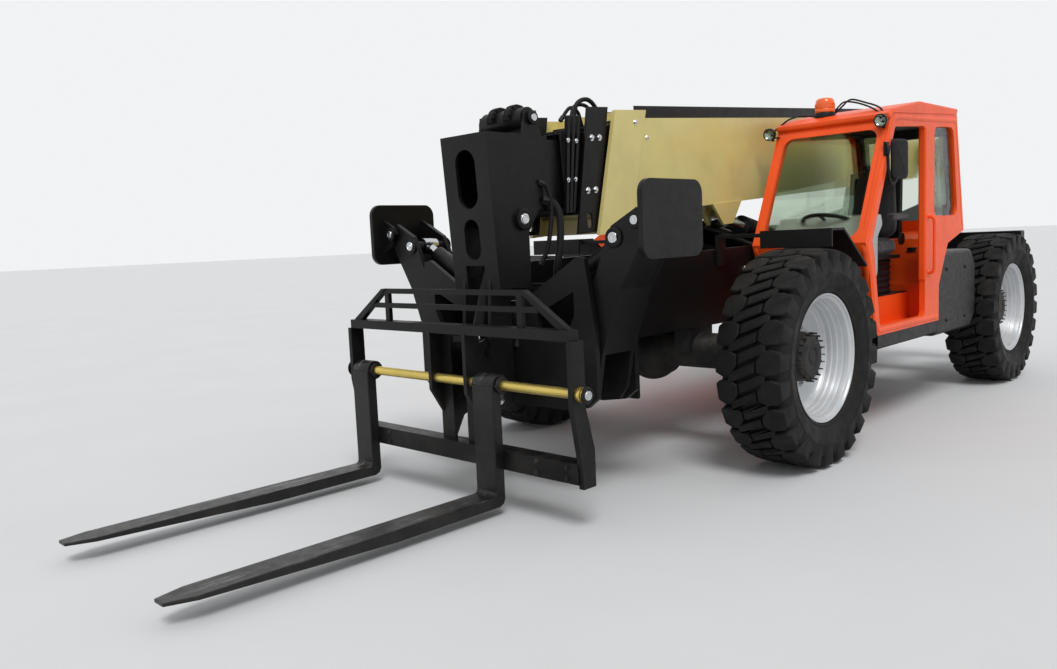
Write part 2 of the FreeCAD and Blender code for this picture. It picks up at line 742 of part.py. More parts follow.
def carriage():
    # Top rail, lower bar and end plates round the fork shaft, with the ears of the tilt pivot.
    w = carriage_half_width
    x0, x1 = carriage_rear_x, shaft_x
    eye_x, _, eye_z = tilt_eye
    top = box(x0 + 20, x1 + 40, -w + 25, w - 25, top_rail_z, top_rail_z + 50)
    low = box(x0 - 40, x1 - running_gap, -w + 25, w - 25, 240, 340)
    end_plate = [(x1 - 45, top_rail_z), (x1 + 45, top_rail_z), (x1 + 45, shaft_z - 60), (x1 - 10, 300),
                 (x1 - 10, 220), (x0 - 40, 220), (x0 - 40, 400), (x1 - 45, shaft_z - 70)]
    root = [(x0 + 20, top_rail_z - 60), (x0 + 20, 320), (tilt_x + 60, tilt_z - 100),
            (tilt_x - 50, tilt_z - 50), (tilt_x - 60, tilt_z + 30)]
    inner_ear = [(eye_x - 42, eye_z + 20), (eye_x - 10, eye_z + 48), (eye_x + 40, eye_z + 30)] + root
    outer_ear = [(tilt_x + 20, tilt_z + 180)] + root
    rib = [(x0, 250), (x1 - 45, 250), (x1 - 45, 480), (x1 + 42, shaft_z - 60), (x1 + 42, top_rail_z + 10),
           (x0, top_rail_z + 10)]
    pieces = [low, bar_y(tilt_x, tilt_z, tilt_pin_radius, -165, 165)]
    for end in (-1, 1):
        pieces.append(side_plate(end_plate, end * (w - 30), end * w))
        pieces.append(side_plate(inner_ear, end * 60, end * 85))
        pieces.append(side_plate(outer_ear, end * 130, end * 155))
        pieces.append(side_plate(rib, end * 130, end * 155))
        pieces.append(box(x0, x0 + 20, end * 55, end * 155, 250, top_rail_z + 40))
        pieces.append(bar_y(eye_x, eye_z, 24, end * 55, end * 88))
    body = fuse(top, *pieces)
    return body.cut(bar_y(shaft_x, shaft_z, shaft_radius + pin_gap, -w - 60, w + 60))


def backrest():
    # Flat bars over the top rail: a short top bar, slanting sides, a second bar and two uprights.
    z0, z1 = top_rail_z + 50, backrest_top_z
    bar = 28.0
    x0, x1 = shaft_x - 12, shaft_x + 12
    half, foot = backrest_half_width, carriage_half_width - 35
    pieces = [box(x0, x1, -half - 85, half + 85, z0 + 75, z0 + 75 + bar)]
    for end in (-1, 1):
        pieces.append(cross_plate([(end * foot, z0), (end * (foot - 70), z0), (end * (half - 38), z1),
                                   (end * half, z1)], x0 - 6, x1 + 6))
        pieces.append(box(x0, x1, end * (half - 58), end * (half - 22), z0, z1))
    return fuse(box(x0, x1, -half, half, z1 - bar, z1), *pieces)


def fork_shaft():
    w = carriage_half_width
    bar = bar_y(shaft_x, shaft_z, shaft_radius, -w - 8, w + 50)
    nut = bar_y(shaft_x, shaft_z, 36, w + 1, w + 28)
    head = bar_y(shaft_x, shaft_z, 34, -w - 16, -w - 1)
    return fuse(bar, nut, head)


def fork(y):
    # An eye round the shaft, an upright shank and a blade that thins and narrows to its tip.
    y0, y1 = y - fork_width / 2, y + fork_width / 2
    x0, x1 = shaft_x, shaft_x + fork_thickness
    top_z = fork_heel_z + fork_thickness
    tip_x = x1 + fork_length
    outline = [(x0, shaft_z), (x0, fork_heel_z + 40), (x0 + 12, fork_heel_z + 12), (x0 + 40, fork_heel_z),
               (x0 + 0.4 * fork_length, fork_heel_z), (tip_x, top_z - 14), (tip_x, top_z), (x1 + 22, top_z),
               (x1 + 6, top_z + 6), (x1, top_z + 22), (x1, shaft_z)]
    cuts = [bar_y(shaft_x, shaft_z, shaft_radius + running_gap, y0 - 5, y1 + 5)]
    for end in (-1, 1):
        edge = y + end * (fork_width / 2 + 1)
        cuts.append(deck_plate([(tip_x - 130, edge), (tip_x + 1, edge), (tip_x + 1, edge - end * 36)], 0,
                               top_z + 20))
    return fuse(bar_y(shaft_x, shaft_z, 55, y0, y1), side_plate(outline, y0, y1)).cut(cuts)


def forks():
    return group(fork(fork_left_y), fork(fork_right_y))


# Cab

windscreen_low = (cab_nose_x, cab_belt_z)
windscreen_high = (cab_nose_x - 385, cab_roof_front_z)
roof_corner = (cab_nose_x - 450, cab_roof_front_z + 40)
rear_low = (cab_back_x, cab_belt_z + 40)
rear_high = (cab_back_x + 170, cab_roof_rear_z)
apron_x = cab_nose_x - 170
cab_inner_low = cab_right_y + cab_wall
cab_inner_high = cab_left_y - cab_wall

# x, z of the cab's side, from the front of the sill round the back and over the roof
cab_outline = [(cab_nose_x - 190, cab_sill_z), (cab_foot_x, cab_sill_z), (cab_foot_x, cab_floor_z + 50),
               (cab_foot_x - 180, cab_belt_z - 50), rear_low, rear_high, roof_corner, windscreen_high,
               windscreen_low, (cab_nose_x - 60, cab_belt_z - 150), (cab_nose_x - 110, cab_floor_z - 50),
               (cab_nose_x - 135, cab_sill_z + 60)]


def rounded(shape, radius, axis):
    # The shape with its corners rounded, where the edges run along an axis.
    edges = [e for e in shape.Edges if abs(e.tangentAt(e.FirstParameter).dot(axis)) > 0.999]
    return shape.makeFillet(radius, edges)


def side_cutter(points, low_y, high_y, radius):
    return rounded(side_plate(points, low_y - 5, high_y + 5), radius, Vector(0, 1, 0))


def rear_quarter(trim):
    # x, z of the fixed window behind the door; trim makes the pane that much smaller.
    t = trim
    front, back, low, high = seat_x - 65, cab_back_x + 140, cab_belt_z + 155, cab_roof_rear_z - 95
    return [(front - t, low + t), (front - t, high - 20 - t), (back + 100 + t, high - t),
            (back + t, low + t)]


def right_window(trim):
    t = trim
    return [(cab_nose_x - 100 - 2 * t, cab_belt_z + 60 + t),
            (cab_nose_x - 465 - t, cab_roof_front_z - 60 - t),
            (cab_back_x + 230 + t, cab_roof_rear_z - 95 - t), (cab_back_x + 90 + t, cab_belt_z + 110 + t)]


def cab_side_frames():
    nose, rear = cab_nose_x, seat_x + 100
    door = [(nose - 215, cab_sill_z + 55), (nose - 190, cab_floor_z), (nose - 145, cab_belt_z - 120),
            (nose - 105, cab_belt_z + 10), (nose - 465, cab_roof_front_z - 45),
            (rear, cab_roof_front_z - 10), (rear, cab_sill_z + 55)]
    left = side_plate(cab_outline, cab_inner_high, cab_left_y)
    left = left.cut([side_cutter(door, cab_inner_high, cab_left_y, 45),
                     side_cutter(rear_quarter(0.0), cab_inner_high, cab_left_y, window_corner)])
    right = side_plate(cab_outline, cab_right_y, cab_inner_low)
    right = right.cut(side_cutter(right_window(0.0), cab_right_y, cab_inner_low, window_corner))
    return group(left, right)


def slanted_wall(low, high, thickness, y0, y1, inset_low=0.0, inset_high=0.0, shift=0.0):
    # A wall between two points in X and Z, thick along X, shortened by the two insets along Z.
    slope = (high[0] - low[0]) / (high[1] - low[1])
    xa, za = low[0] + slope * inset_low + shift, low[1] + inset_low
    xb, zb = high[0] - slope * inset_high + shift, high[1] - inset_high
    return side_plate([(xa, za), (xb, zb), (xb + thickness, zb), (xa + thickness, za)], y0, y1)


def corner_edges(wall):
    # The short edges that run through a slanted wall.
    return [e for e in wall.Edges if abs(e.tangentAt(e.FirstParameter).x) > 0.999]


def slanted_pane(low, high, thickness, y0, y1, inset_low, inset_high, shift):
    wall = slanted_wall(low, high, thickness, y0, y1, inset_low, inset_high, shift)
    return wall.makeFillet(window_corner, corner_edges(wall))


def cab_end_frames():
    y0, y1 = cab_inner_low, cab_inner_high
    front = slanted_wall(windscreen_low, windscreen_high, -50, y0, y1)
    pane = slanted_pane(windscreen_low, windscreen_high, -90, y0 + 25, y1 - 25, 35, 60, 20)
    x, z = apron_x, cab_belt_z
    apron = side_plate([windscreen_low, (cab_nose_x - 20, z - 80), (x, cab_floor_z + 100), (x, cab_sill_z),
                        (x - 20, cab_sill_z), (x - 20, cab_floor_z + 105), (cab_nose_x - 50, z - 75),
                        (cab_nose_x - 50, z)], y0, y1)
    front = fuse(front.cut(pane), apron)
    rear = slanted_wall(rear_low, rear_high, 50, y0, y1, 0, 4)
    pane = slanted_pane(rear_low, rear_high, 90, y0 + 60, y1 - 60, 90, 90, -20)
    foot = cab_foot_x
    low_wall = side_plate([(foot, cab_sill_z), (foot, cab_floor_z + 50), (foot - 180, z - 50), rear_low,
                           (rear_low[0] + 52, rear_low[1] + 10), (foot - 160, z - 10),
                           (foot + 40, cab_floor_z + 60), (foot + 40, cab_sill_z)], y0, y1)
    return group(front, fuse(rear.cut(pane), low_wall))


def cab_roof():
    gap = running_gap
    front_x, front_z = windscreen_high[0] + 25, windscreen_high[1]
    outline = [(front_x, front_z + gap), (windscreen_high[0], front_z + gap),
               (roof_corner[0], roof_corner[1] + gap), (rear_high[0], rear_high[1] + gap),
               (rear_high[0] - 20, rear_high[1] + 45), (cab_nose_x - 900, cab_roof_rear_z + 42),
               (cab_nose_x - 440, cab_roof_front_z + 72), (front_x, front_z + 35)]
    return side_plate(outline, cab_right_y - 5, cab_left_y + 5)


def cab_floor():
    x0, x1 = cab_foot_x + 41, apron_x - 21
    y0, y1 = cab_inner_low, cab_inner_high
    deck = box(x0, x1, y0, y1 - 160, cab_floor_z - 20, cab_floor_z)
    riser = box(x0, x1, y1 - 180, y1 - 160, cab_sill_z + 20, cab_floor_z - 20)
    step = box(x0, x1, y1 - 180, y1, cab_sill_z, cab_sill_z + 20)
    return fuse(deck, riser, step)


def side_step():
    # The channel under the door that guards the cab's foot, and the handle on the post behind it.
    x0, x1 = cab_foot_x + 10, cab_nose_x - 200
    y0, y1 = cab_left_y - 190, cab_left_y - 10
    low, high = cab_sill_z - 95, cab_sill_z - running_gap
    channel = box(x0, x1, y0, y1, low, high).cut(box(x0 + 10, x1 - 10, y0 + 10, y1 - 10, low - 5, high - 12))
    x, y, low, high = seat_x + 50, cab_left_y + running_gap, cab_floor_z + 150, cab_floor_z + 550
    bends = [(x, y, low), (x, y + 45, low + 25), (x, y + 45, high - 25), (x, y, high)]
    handle = [rod_between(bends[k], bends[k + 1], 11) for k in range(3)]
    joints = [Part.makeSphere(11, Vector(*bends[k])) for k in (1, 2)]
    grip = fuse(handle[0], *(handle[1:] + joints)).cut(side_plate(cab_outline, cab_inner_high,
                                                                  cab_left_y + running_gap))
    return group(channel, grip)


def cab_glass():
    y0, y1 = cab_inner_low, cab_inner_high
    gap = running_gap
    front = slanted_wall(windscreen_low, windscreen_high, -glass_thickness, y0, y1, 0, 0, -20)
    front = front.common(slanted_pane(windscreen_low, windscreen_high, -90, y0 + 25 + gap, y1 - 25 - gap,
                                      35 + gap, 60 + gap, 20))
    rear = slanted_wall(rear_low, rear_high, glass_thickness, y0, y1, 0, 0, 20)
    rear = rear.common(slanted_pane(rear_low, rear_high, 90, y0 + 60 + gap, y1 - 60 - gap, 90 + gap,
                                    90 + gap, -20))
    axis = Vector(0, 1, 0)
    left_y, right_y = cab_left_y - 24, cab_right_y + 16
    quarter = rounded(side_plate(rear_quarter(gap), left_y, left_y + glass_thickness), window_corner, axis)
    right = rounded(side_plate(right_window(gap), right_y, right_y + glass_thickness), window_corner, axis)
    return group(front, rear, quarter, right)


seat_y = (cab_left_y + cab_right_y) / 2 - 20


def operator_seat():
    z = cab_floor_z
    pan = box(seat_x, seat_x + 460, seat_y - 230, seat_y + 230, z + 300, z + 400)
    back = side_plate([(seat_x + 20, z + 380), (seat_x + 110, z + 390), (seat_x + 20, z + 940),
                       (seat_x - 70, z + 930)], seat_y - 220, seat_y + 220)
    base = box(seat_x + 50, seat_x + 400, seat_y - 170, seat_y + 170, z, z + 300)
    return fuse(pan, back, base)


dash_rear = (cab_nose_x - 360, cab_belt_z - 20)
dash_front = (cab_nose_x - 160, cab_belt_z + 50)


def dash_console():
    y0, y1 = cab_inner_low + 10, cab_inner_high - 200
    nose, belt, floor = cab_nose_x, cab_belt_z, cab_floor_z
    panel = side_plate([(nose - 210, floor), (nose - 200, floor + 110), (nose - 80, belt - 70),
                        (nose - 90, belt + 20), dash_front, dash_rear, (dash_rear[0], dash_rear[1] - 70),
                        (nose - 280, floor)], y0, y1)
    console = box(seat_x + 60, nose - 400, y0, y0 + 60, floor, floor + 380)
    return group(panel, console)


def steering_wheel():
    # The column stands square on the sloping top of the dashboard.
    slope = math.atan2(dash_front[1] - dash_rear[1], dash_front[0] - dash_rear[0])
    along = Vector(math.cos(slope), 0, math.sin(slope))
    axis = Vector(-math.sin(slope), 0, math.cos(slope))
    foot = Vector(dash_rear[0], seat_y, dash_rear[1]) + along * 32 + axis * running_gap
    centre = foot + axis * 150
    pieces = [Part.makeCylinder(42, 28, centre - axis * 14, axis), Part.makeCylinder(26, 150, foot, axis)]
    for angle in (0, 120, 240):
        a = math.radians(angle)
        rim_point = centre + along * (172 * math.cos(a)) + Vector(0, 172 * math.sin(a), 0)
        pieces.append(rod_between(tuple(centre), tuple(rim_point), 10))
    return fuse(Part.makeTorus(175, 14, centre, axis), *pieces)


# Fenders, tank, lamps and mirror

def front_fenders():
    # A folded plate over the rear of each front wheel, on a stay from the frame.
    z = fender_z
    outline = [(-130, z - 110), (-130, z), (-300, z), (-630, z - 240), (-622, z - 252), (-294, z - 15),
               (-145, z - 15), (-145, z - 110)]
    plate = side_plate(outline, frame_half_width + 350, cab_left_y)
    stay = box(-270, -170, frame_half_width, frame_half_width + 360, z - 40, z - 15)
    foot = box(-270, -170, frame_half_width, frame_half_width + 20, frame_shoulder - 90, z - 15)
    one = fuse(plate, stay, foot)
    return group(one, mirrored(one))


def side_tank():
    x0, x1 = cab_foot_x - 30, -wheelbase + tyre_radius + 125
    return side_plate([(x0, 560), (x0, 930), (x0 - 200, 1190), (x1 + 90, 1190), (x1, 1080), (x1, 640),
                       (x1 + 90, 560)], frame_half_width, cab_left_y - 40)


def post_front(z):
    # Where the front edge of the cab's front post is at a height.
    slope = (windscreen_high[0] - windscreen_low[0]) / (windscreen_high[1] - windscreen_low[1])
    return windscreen_low[0] + slope * (z - windscreen_low[1])


def mirror():
    # A mirror folded back beside the door opening, on a bent arm from a bracket on the front post.
    low, high = cab_roof_front_z - 390, cab_roof_front_z - 130
    x, y = cab_nose_x - 460, cab_left_y + 32
    bracket_z = cab_roof_front_z - 200
    post_x = post_front(bracket_z)
    bracket = box(post_x - 55, post_x + 15, cab_left_y + running_gap, cab_left_y + 10, bracket_z - 45,
                  bracket_z + 45)
    arm_y = y - 18
    points = [(post_x - 20, arm_y, bracket_z - 20), (post_x - 25, arm_y, low + 60),
              (x + 110, arm_y, low - 30), (x + 20, y, low + 20)]
    arm = [rod_between(points[k], points[k + 1], mirror_arm_radius) for k in range(3)]
    arm += [Part.makeSphere(mirror_arm_radius, Vector(*points[k])) for k in (1, 2)]
    head = box(x - 85, x + 85, y - 10, y + 10, low, high)
    head = rounded(head, 40, Vector(0, 1, 0))
    head.rotate(Vector(x, y, low), Vector(0, 0, 1), -mirror_turn)
    return fuse(head, bracket, *arm)


def work_lamps():
    # A lamp on a bracket before each top corner of the windscreen.
    lamps = []
    frames = side_plate(cab_outline, cab_right_y, cab_left_y)
    frames.translate(Vector(running_gap, 0, 0))
    x, z = windscreen_high[0] + 35, cab_roof_front_z - 8
    for y in (cab_right_y - 25, cab_left_y - 30):
        body = Part.makeCylinder(lamp_radius, lamp_depth, Vector(x, y, z), Vector(1, 0, -0.15))
        foot = box(x - 60, x + 10, max(y - 14, cab_right_y), max(y, cab_right_y) + 14, z - 36, z - 12)
        side = box(x - 20, x + 10, y - 14, max(y, cab_right_y) + 14, z - 36, z - 12)
        lamps.append(fuse(body, foot, side).cut(frames))
    return group(*lamps)


def beacon():
    z = cab_roof_front_z + 82
    x, y = cab_nose_x - 500, (cab_left_y + cab_right_y) / 2 - 102
    base = Part.makeCylinder(beacon_radius + 4, 45, Vector(x, y, z - 20))
    dome = Part.makeCylinder(beacon_radius, 103, Vector(x, y, z + 25))
    return fuse(base, dome).cut(cab_roof().translated(Vector(0, 0, running_gap)))


# Engine pod on the right

def engine_pod():
    # The lower housing, the fixed wall beside the frame and the brackets between them.
    tray = box(pod_rear_x, pod_front_x, pod_outer_y, pod_inner_y, pod_bottom_z, pod_split_z)
    wall = box(pod_rear_x, pod_front_x, pod_inner_y - 12, pod_inner_y, pod_split_z, pod_top_z)
    brackets = [box(x, x + 80, pod_inner_y, -frame_half_width, frame_bottom + 50, pod_split_z + 150)
                for x in (pod_rear_x + 200, pod_front_x - 280)]
    hinges = []
    for x, end in ((pod_rear_x + 60, 1), (pod_front_x - 60, -1)):
        hinges.append(bar_x(hood_hinge_y, hood_hinge_z, 18, x, x + end * 20))
        hinges.append(box(x, x + end * 20, hood_hinge_y, pod_inner_y, hood_hinge_z - 12, hood_hinge_z + 12))
        hinges.append(box(x, x + end * 20, pod_inner_y - 12, pod_inner_y, pod_top_z - 20, hood_hinge_z + 12))
        hinges.append(bar_x(hood_hinge_y, hood_hinge_z, hood_pin_radius, x, x + end * 60))
    return fuse(tray, wall, *(brackets + hinges))


def engine():
    return box(pod_rear_x + 350, pod_front_x - 350, pod_outer_y + 160, pod_inner_y - 60, pod_split_z,
               pod_top_z - 120)


def hood():
    # A folded cover that turns up on two pins along its inner top edge.
    z0, inner_y, w = pod_split_z + side_gap, pod_inner_y - 20, hood_wall
    outer_y, top = pod_outer_y, pod_top_z
    outline = [(outer_y, z0), (outer_y, top - 150), (outer_y + 40, top - 60), (outer_y + 150, top),
               (inner_y, top), (inner_y, z0)]
    hollow = [(outer_y + w, z0 - 5), (outer_y + w, top - 152), (outer_y + 46, top - 62 - w / 2),
              (outer_y + 152, top - w), (inner_y + 5, top - w), (inner_y + 5, z0 - 5)]
    shell = cross_plate(outline, pod_rear_x + 5, pod_front_x - 5)
    lugs = []
    holes = [cross_plate(hollow, pod_rear_x + 5 + w, pod_front_x - 5 - w)]
    for step in range(louvre_count):
        z = z0 + 90 + step * louvre_pitch
        for x in (pod_rear_x + 150, pod_front_x - 150 - louvre_length):
            holes.append(box(x, x + louvre_length, outer_y - 5, outer_y + w + 5, z, z + louvre_height))
    for x, end in ((pod_rear_x + 60, 1), (pod_front_x - 60, -1)):
        x0, x1 = x + end * 25, x + end * 55
        lugs.append(bar_x(hood_hinge_y, hood_hinge_z, 18, x0, x1))
        lugs.append(box(x0, x1, hood_hinge_y - 18, inner_y, top - w, hood_hinge_z))
        holes.append(bar_x(hood_hinge_y, hood_hinge_z, hood_pin_radius + pin_gap, x0 - end * 5,
                           x1 + end * 8))
    return fuse(shell, *lugs).cut(holes)


# The list of sub-parts

parts = {}

for maker in (frame_side_plates, frame_crossmembers, counterweight, axle_housings, stabilizer_housing,
              boom_outer, boom_second, boom_third, boom_inner, boom_head, hose_tray, lift_barrels,
              lift_rods, tilt_barrel, tilt_rod, carriage, backrest, fork_shaft, forks, cab_side_frames,
              cab_end_frames, cab_roof, cab_floor, side_step, cab_glass, operator_seat, dash_console,
              steering_wheel,
              front_fenders, side_tank, mirror, work_lamps, beacon, engine_pod, engine, hood):
    parts[maker.__name__] = maker()

for maker in (stabilizer_leg, stabilizer_pad, stabilizer_barrel, stabilizer_rod):
    parts[maker.__name__ + "_left"] = maker()
    parts[maker.__name__ + "_right"] = mirrored(maker())

tyre = tyre_pattern()
for end, axle_x in (("front", 0.0), ("rear", -wheelbase)):
    for side_name, side in (("left", 1), ("right", -1)):
        place = end + "_" + side_name
        centre = Vector(axle_x, side * wheel_y, axle_z)
        parts["knuckle_" + place] = knuckle(axle_x, side)
        parts["rim_" + place] = wheel(side).translated(centre)
        parts["tyre_" + place] = tyre.translated(centre)

os.makedirs("parts", exist_ok=True)
for node, shape in parts.items():
    shape.translate(Vector(-origin_x, 0, 0))
    shape.exportStep("parts/" + node + ".step")
    print(node, len(shape.Solids), shape.isValid(), round(shape.Volume / 1e9, 4))
print("nodes", len(parts))
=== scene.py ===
import json
import math
from collections import defaultdict

import bmesh
import bpy
import numpy as np
from mathutils import Matrix, Vector


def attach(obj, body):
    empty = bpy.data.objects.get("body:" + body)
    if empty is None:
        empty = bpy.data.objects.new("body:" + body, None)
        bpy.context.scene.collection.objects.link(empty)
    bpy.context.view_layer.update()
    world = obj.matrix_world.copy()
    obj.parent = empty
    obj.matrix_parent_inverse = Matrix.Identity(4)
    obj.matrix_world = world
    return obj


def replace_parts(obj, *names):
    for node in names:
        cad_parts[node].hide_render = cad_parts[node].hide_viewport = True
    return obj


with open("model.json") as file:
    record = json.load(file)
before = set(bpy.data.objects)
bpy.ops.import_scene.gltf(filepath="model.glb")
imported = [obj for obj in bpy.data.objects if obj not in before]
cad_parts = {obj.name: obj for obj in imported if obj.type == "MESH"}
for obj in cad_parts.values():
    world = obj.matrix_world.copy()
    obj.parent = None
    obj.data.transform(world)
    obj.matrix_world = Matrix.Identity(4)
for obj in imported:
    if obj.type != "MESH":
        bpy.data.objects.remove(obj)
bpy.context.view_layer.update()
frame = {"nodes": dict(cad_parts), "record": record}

# Places are in metres from the middle of the front axle on the ground, as in the part's source.
# The frame's origin is under the middle of the machine, and design() moves a place by axleX.
axleX = 0.475
wheelbase = 3.56
wheelY = 1.085
wheelR = 0.645
boom = {"x": -4.15, "z": 2.08, "droop": math.radians(4.0)}
forward, left, upward = np.eye(3)


def design(x, y, z):
    return np.array([x + axleX, y, z])


def designs(*places):
    return [design(*place) for place in places]


def boomPoint(u, v, y=0.0):
    # u runs along the lowered boom from its hinge, v square to it and upwards.
    c, s = math.cos(boom["droop"]), math.sin(boom["droop"])
    return design(boom["x"] + u * c + v * s, y, boom["z"] - u * s + v * c)


boomAhead = boomPoint(1, 0) - boomPoint(0, 0)
boomUp = boomPoint(0, 1) - boomPoint(0, 0)


def spokes(count, e1, e2, shift=0.0):
    # Directions at equal angles from e1 towards e2, each with the direction square to it.
    a = 2 * math.pi * (np.arange(count) + shift) / count
    c, s = np.cos(a)[:, None], np.sin(a)[:, None]
    return zip(c * e1 + s * e2, c * e2 - s * e1)


def tagOf(name):
    return name.title().replace("_", "")


# Outlines

def rectangle(low, high):
    return [low, (high[0], low[1]), high, (low[0], high[1])]


def crisp(profile, width):
    # Two points close beside each corner keep a turned edge tight under smooth shading.
    p = np.array(profile, float)
    before, after = np.roll(p, 1, 0) - p, np.roll(p, -1, 0) - p
    out = []
    for corner, a, b in zip(p, before, after):
        la, lb = np.linalg.norm(a), np.linalg.norm(b)
        out += [corner + a / la * min(width, la * 0.3), corner + b / lb * min(width, lb * 0.3)]
    return np.array(out)


def roundCorners(outline, radius, steps=3):
    # Each corner of a flat outline becomes an arc-like curve that starts and ends a radius away.
    p = np.array(outline, float)
    out = []
    t = np.linspace(0, 1, steps)[:, None]
    for a, b, c in zip(np.roll(p, 1, 0), p, np.roll(p, -1, 0)):
        arms = [(d, np.linalg.norm(d)) for d in (a - b, c - b)]
        start, end = (b + d / length * min(radius, length * 0.45) for d, length in arms)
        out.append((1 - t) ** 2 * start + 2 * t * (1 - t) * b + t ** 2 * end)
    return np.vstack(out)


def turnSense(flat):
    # Twice the area inside a flat loop, above zero where it runs anticlockwise.
    return np.sum(flat[:, 0] * np.roll(flat[:, 1], -1) - flat[:, 1] * np.roll(flat[:, 0], -1))


def insetOutline(points, amount):
    # Every point of a flat loop moves inwards, square to the line between its two neighbours.
    along = np.roll(points, -1, 0) - np.roll(points, 1, 0)
    along /= np.linalg.norm(along, axis=1)[:, None] + 1e-9
    square = np.stack([-along[:, 1], along[:, 0]], 1)
    return points + square * amount * (1 if turnSense(points) > 0 else -1)


def curvePath(points, steps=12):
    # A smooth line through the points: each stretch is a cubic whose ends share their slopes.
    p = np.array(points, float)
    q = np.vstack([2 * p[0] - p[1], p, 2 * p[-1] - p[-2]])
    t = np.linspace(0, 1, steps, endpoint=False)[:, None]
    out = []
    for a, b, c, d in zip(q, q[1:], q[2:], q[3:]):
        square, cube = 2 * a - 5 * b + 4 * c - d, 3 * b - a - 3 * c + d
        out.append(0.5 * (2 * b + (c - a) * t + square * t ** 2 + cube * t ** 3))
    return np.vstack([*out, p[-1:]])


# Surfaces

def gridFaces(rows, columns, closeRows=False):
    # Quads between neighbouring rows of a grid of points, each row closed to a ring.
    r, c = np.meshgrid(np.arange(rows if closeRows else rows - 1), np.arange(columns), indexing="ij")
    rn, cn = (r + 1) % rows, (c + 1) % columns
    corners = [r * columns + c, r * columns + cn, rn * columns + cn, rn * columns + c]
    return np.stack(corners, -1).reshape(-1, 4)


def loopFaces(rows, columns):
    # The quads between rings of points, with the first and the last ring closed by one face each.
    faces = gridFaces(rows, columns).tolist()
    return faces + [list(range(columns))[::-1], list(range((rows - 1) * columns, rows * columns))]


class Shape:
    # Gathers the points and faces of several surfaces into one piece.
    def __init__(self):
        self.points = []
        self.faces = []
        self.count = 0

    def add(self, points, faces):
        points = np.asarray(points, dtype=float).reshape(-1, 3)
        self.points.append(points)
        self.faces += [[int(i) + self.count for i in f] for f in faces]
        self.count += len(points)

    def finish(self, name, slotName, body="chassis", bevel=0.0, smooth=True, segments=2, crease=50.0):
        # One object in the named finish, which rides on a body of the frame.
        mesh = bpy.data.meshes.new(name)
        mesh.from_pydata(np.concatenate(self.points).tolist(), [], self.faces)
        mesh.update()
        if smooth:
            mesh.shade_smooth()
            mesh.set_sharp_from_angle(angle=math.radians(crease))
        else:
            mesh.shade_flat()
        piece = bpy.data.objects.new(name, mesh)
        bpy.context.collection.objects.link(piece)
        mesh.materials.append(materials[slotName])
        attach(piece, body)
        faceOutward(mesh)
        if bevel:
            softenEdges(piece, bevel, segments)
        return piece


def finishEach(shapes, name, slotName, smooth=True):
    for body, shape in shapes.items():
        shape.finish(name + tagOf(body), slotName, body, smooth=smooth)


def faceOutward(mesh):
    form = bmesh.new()
    form.from_mesh(mesh)
    bmesh.ops.recalc_face_normals(form, faces=form.faces)
    form.to_mesh(mesh)
    form.free()


def softenEdges(piece, width, segments=2, weld=False):
    if weld:
        joined = piece.modifiers.new("joined", "WELD")
        joined.merge_threshold = 0.00002
    mod = piece.modifiers.new("softEdges", "BEVEL")
    mod.width = width
    mod.segments = segments
    mod.limit_method = "ANGLE"
    mod.angle_limit = math.radians(35)
    mod.harden_normals = False
    mod.use_clamp_overlap = True


def crossTo(direction):
    # A direction square to the given one.
    return np.cross(direction, upward if abs(direction[2]) < 0.9 else forward)


def revolve(shape, profile, centre, axis, steps=40):
    # Each profile point (distance from the axis, place along it) is carried round the axis in equal
    # steps. A profile that starts on the axis also ends there, and any other is a closed loop.
    axis = np.array(axis, float) / np.linalg.norm(axis)
    e1 = crossTo(axis)
    e1 /= np.linalg.norm(e1)
    e2 = np.cross(axis, e1)
    turn = np.linspace(0, 2 * math.pi, steps, endpoint=False)
    prof = np.array(profile, float)
    ring = np.cos(turn)[None, :, None] * e1 + np.sin(turn)[None, :, None] * e2
    pts = np.array(centre, float) + prof[:, 0, None, None] * ring + prof[:, 1, None, None] * axis
    shape.add(pts, gridFaces(len(prof), steps, prof[0, 0] > 0)[:, ::-1])


def disc(shape, centre, axis, radius, thickness, steps=24, rim=0.0):
    # A closed round plate or bar: a profile from the axis out to the radius and back.
    r, t, b = radius, thickness, rim
    profile = [(0, 0), (r, 0), (r, t - b), (r - b, t), (0, t)] if b else [(0, 0), (r, 0), (r, t), (0, t)]
    revolve(shape, profile, centre, axis, steps)


def sweep(shape, path, radius, sides=10, closed=False):
    # A round tube: a ring of points is carried along the path, square to its direction.
    p = np.array(path, float)
    n = len(p)
    tangent = np.roll(p, -1, 0) - np.roll(p, 1, 0) if closed else np.gradient(p, axis=0)
    tangent /= np.linalg.norm(tangent, axis=1)[:, None]
    normal = np.zeros_like(p)
    v = crossTo(tangent[0])
    for i in range(n):
        v = v - tangent[i] * np.dot(v, tangent[i])
        v /= np.linalg.norm(v)
        normal[i] = v
    other = np.cross(tangent, normal)
    a = np.linspace(0, 2 * math.pi, sides, endpoint=False)
    ring = np.cos(a)[None, :, None] * normal[:, None] + np.sin(a)[None, :, None] * other[:, None]
    faces = gridFaces(n, sides, True).tolist() if closed else loopFaces(n, sides)
    shape.add(p[:, None] + radius * ring, [f[::-1] for f in faces])


def slab(shape, outline, origin, e1, e2, thickness):
    # A flat outline in the plane of e1 and e2, given its thickness along their cross product.
    o, a, b = np.array(origin, float), np.array(e1, float), np.array(e2, float)
    flat = np.array(outline, float)
    base = o + flat[:, :1] * a + flat[:, 1:] * b
    n = len(flat)
    order = list(range(n)) if turnSense(flat) * thickness > 0 else list(range(n))[::-1]
    faces = [order[::-1], [i + n for i in order]]
    for i, j in zip(order, order[1:] + order[:1]):
        faces.append([i, j, j + n, i + n])
    shape.add(np.vstack([base, base + np.cross(a, b) * thickness]), faces)


def crossPlate(shape, outline, y, width):
    # An outline seen from the side, in places of x and z, carried from y to the right by its width.
    slab(shape, outline, design(0, y, 0), forward, upward, width)


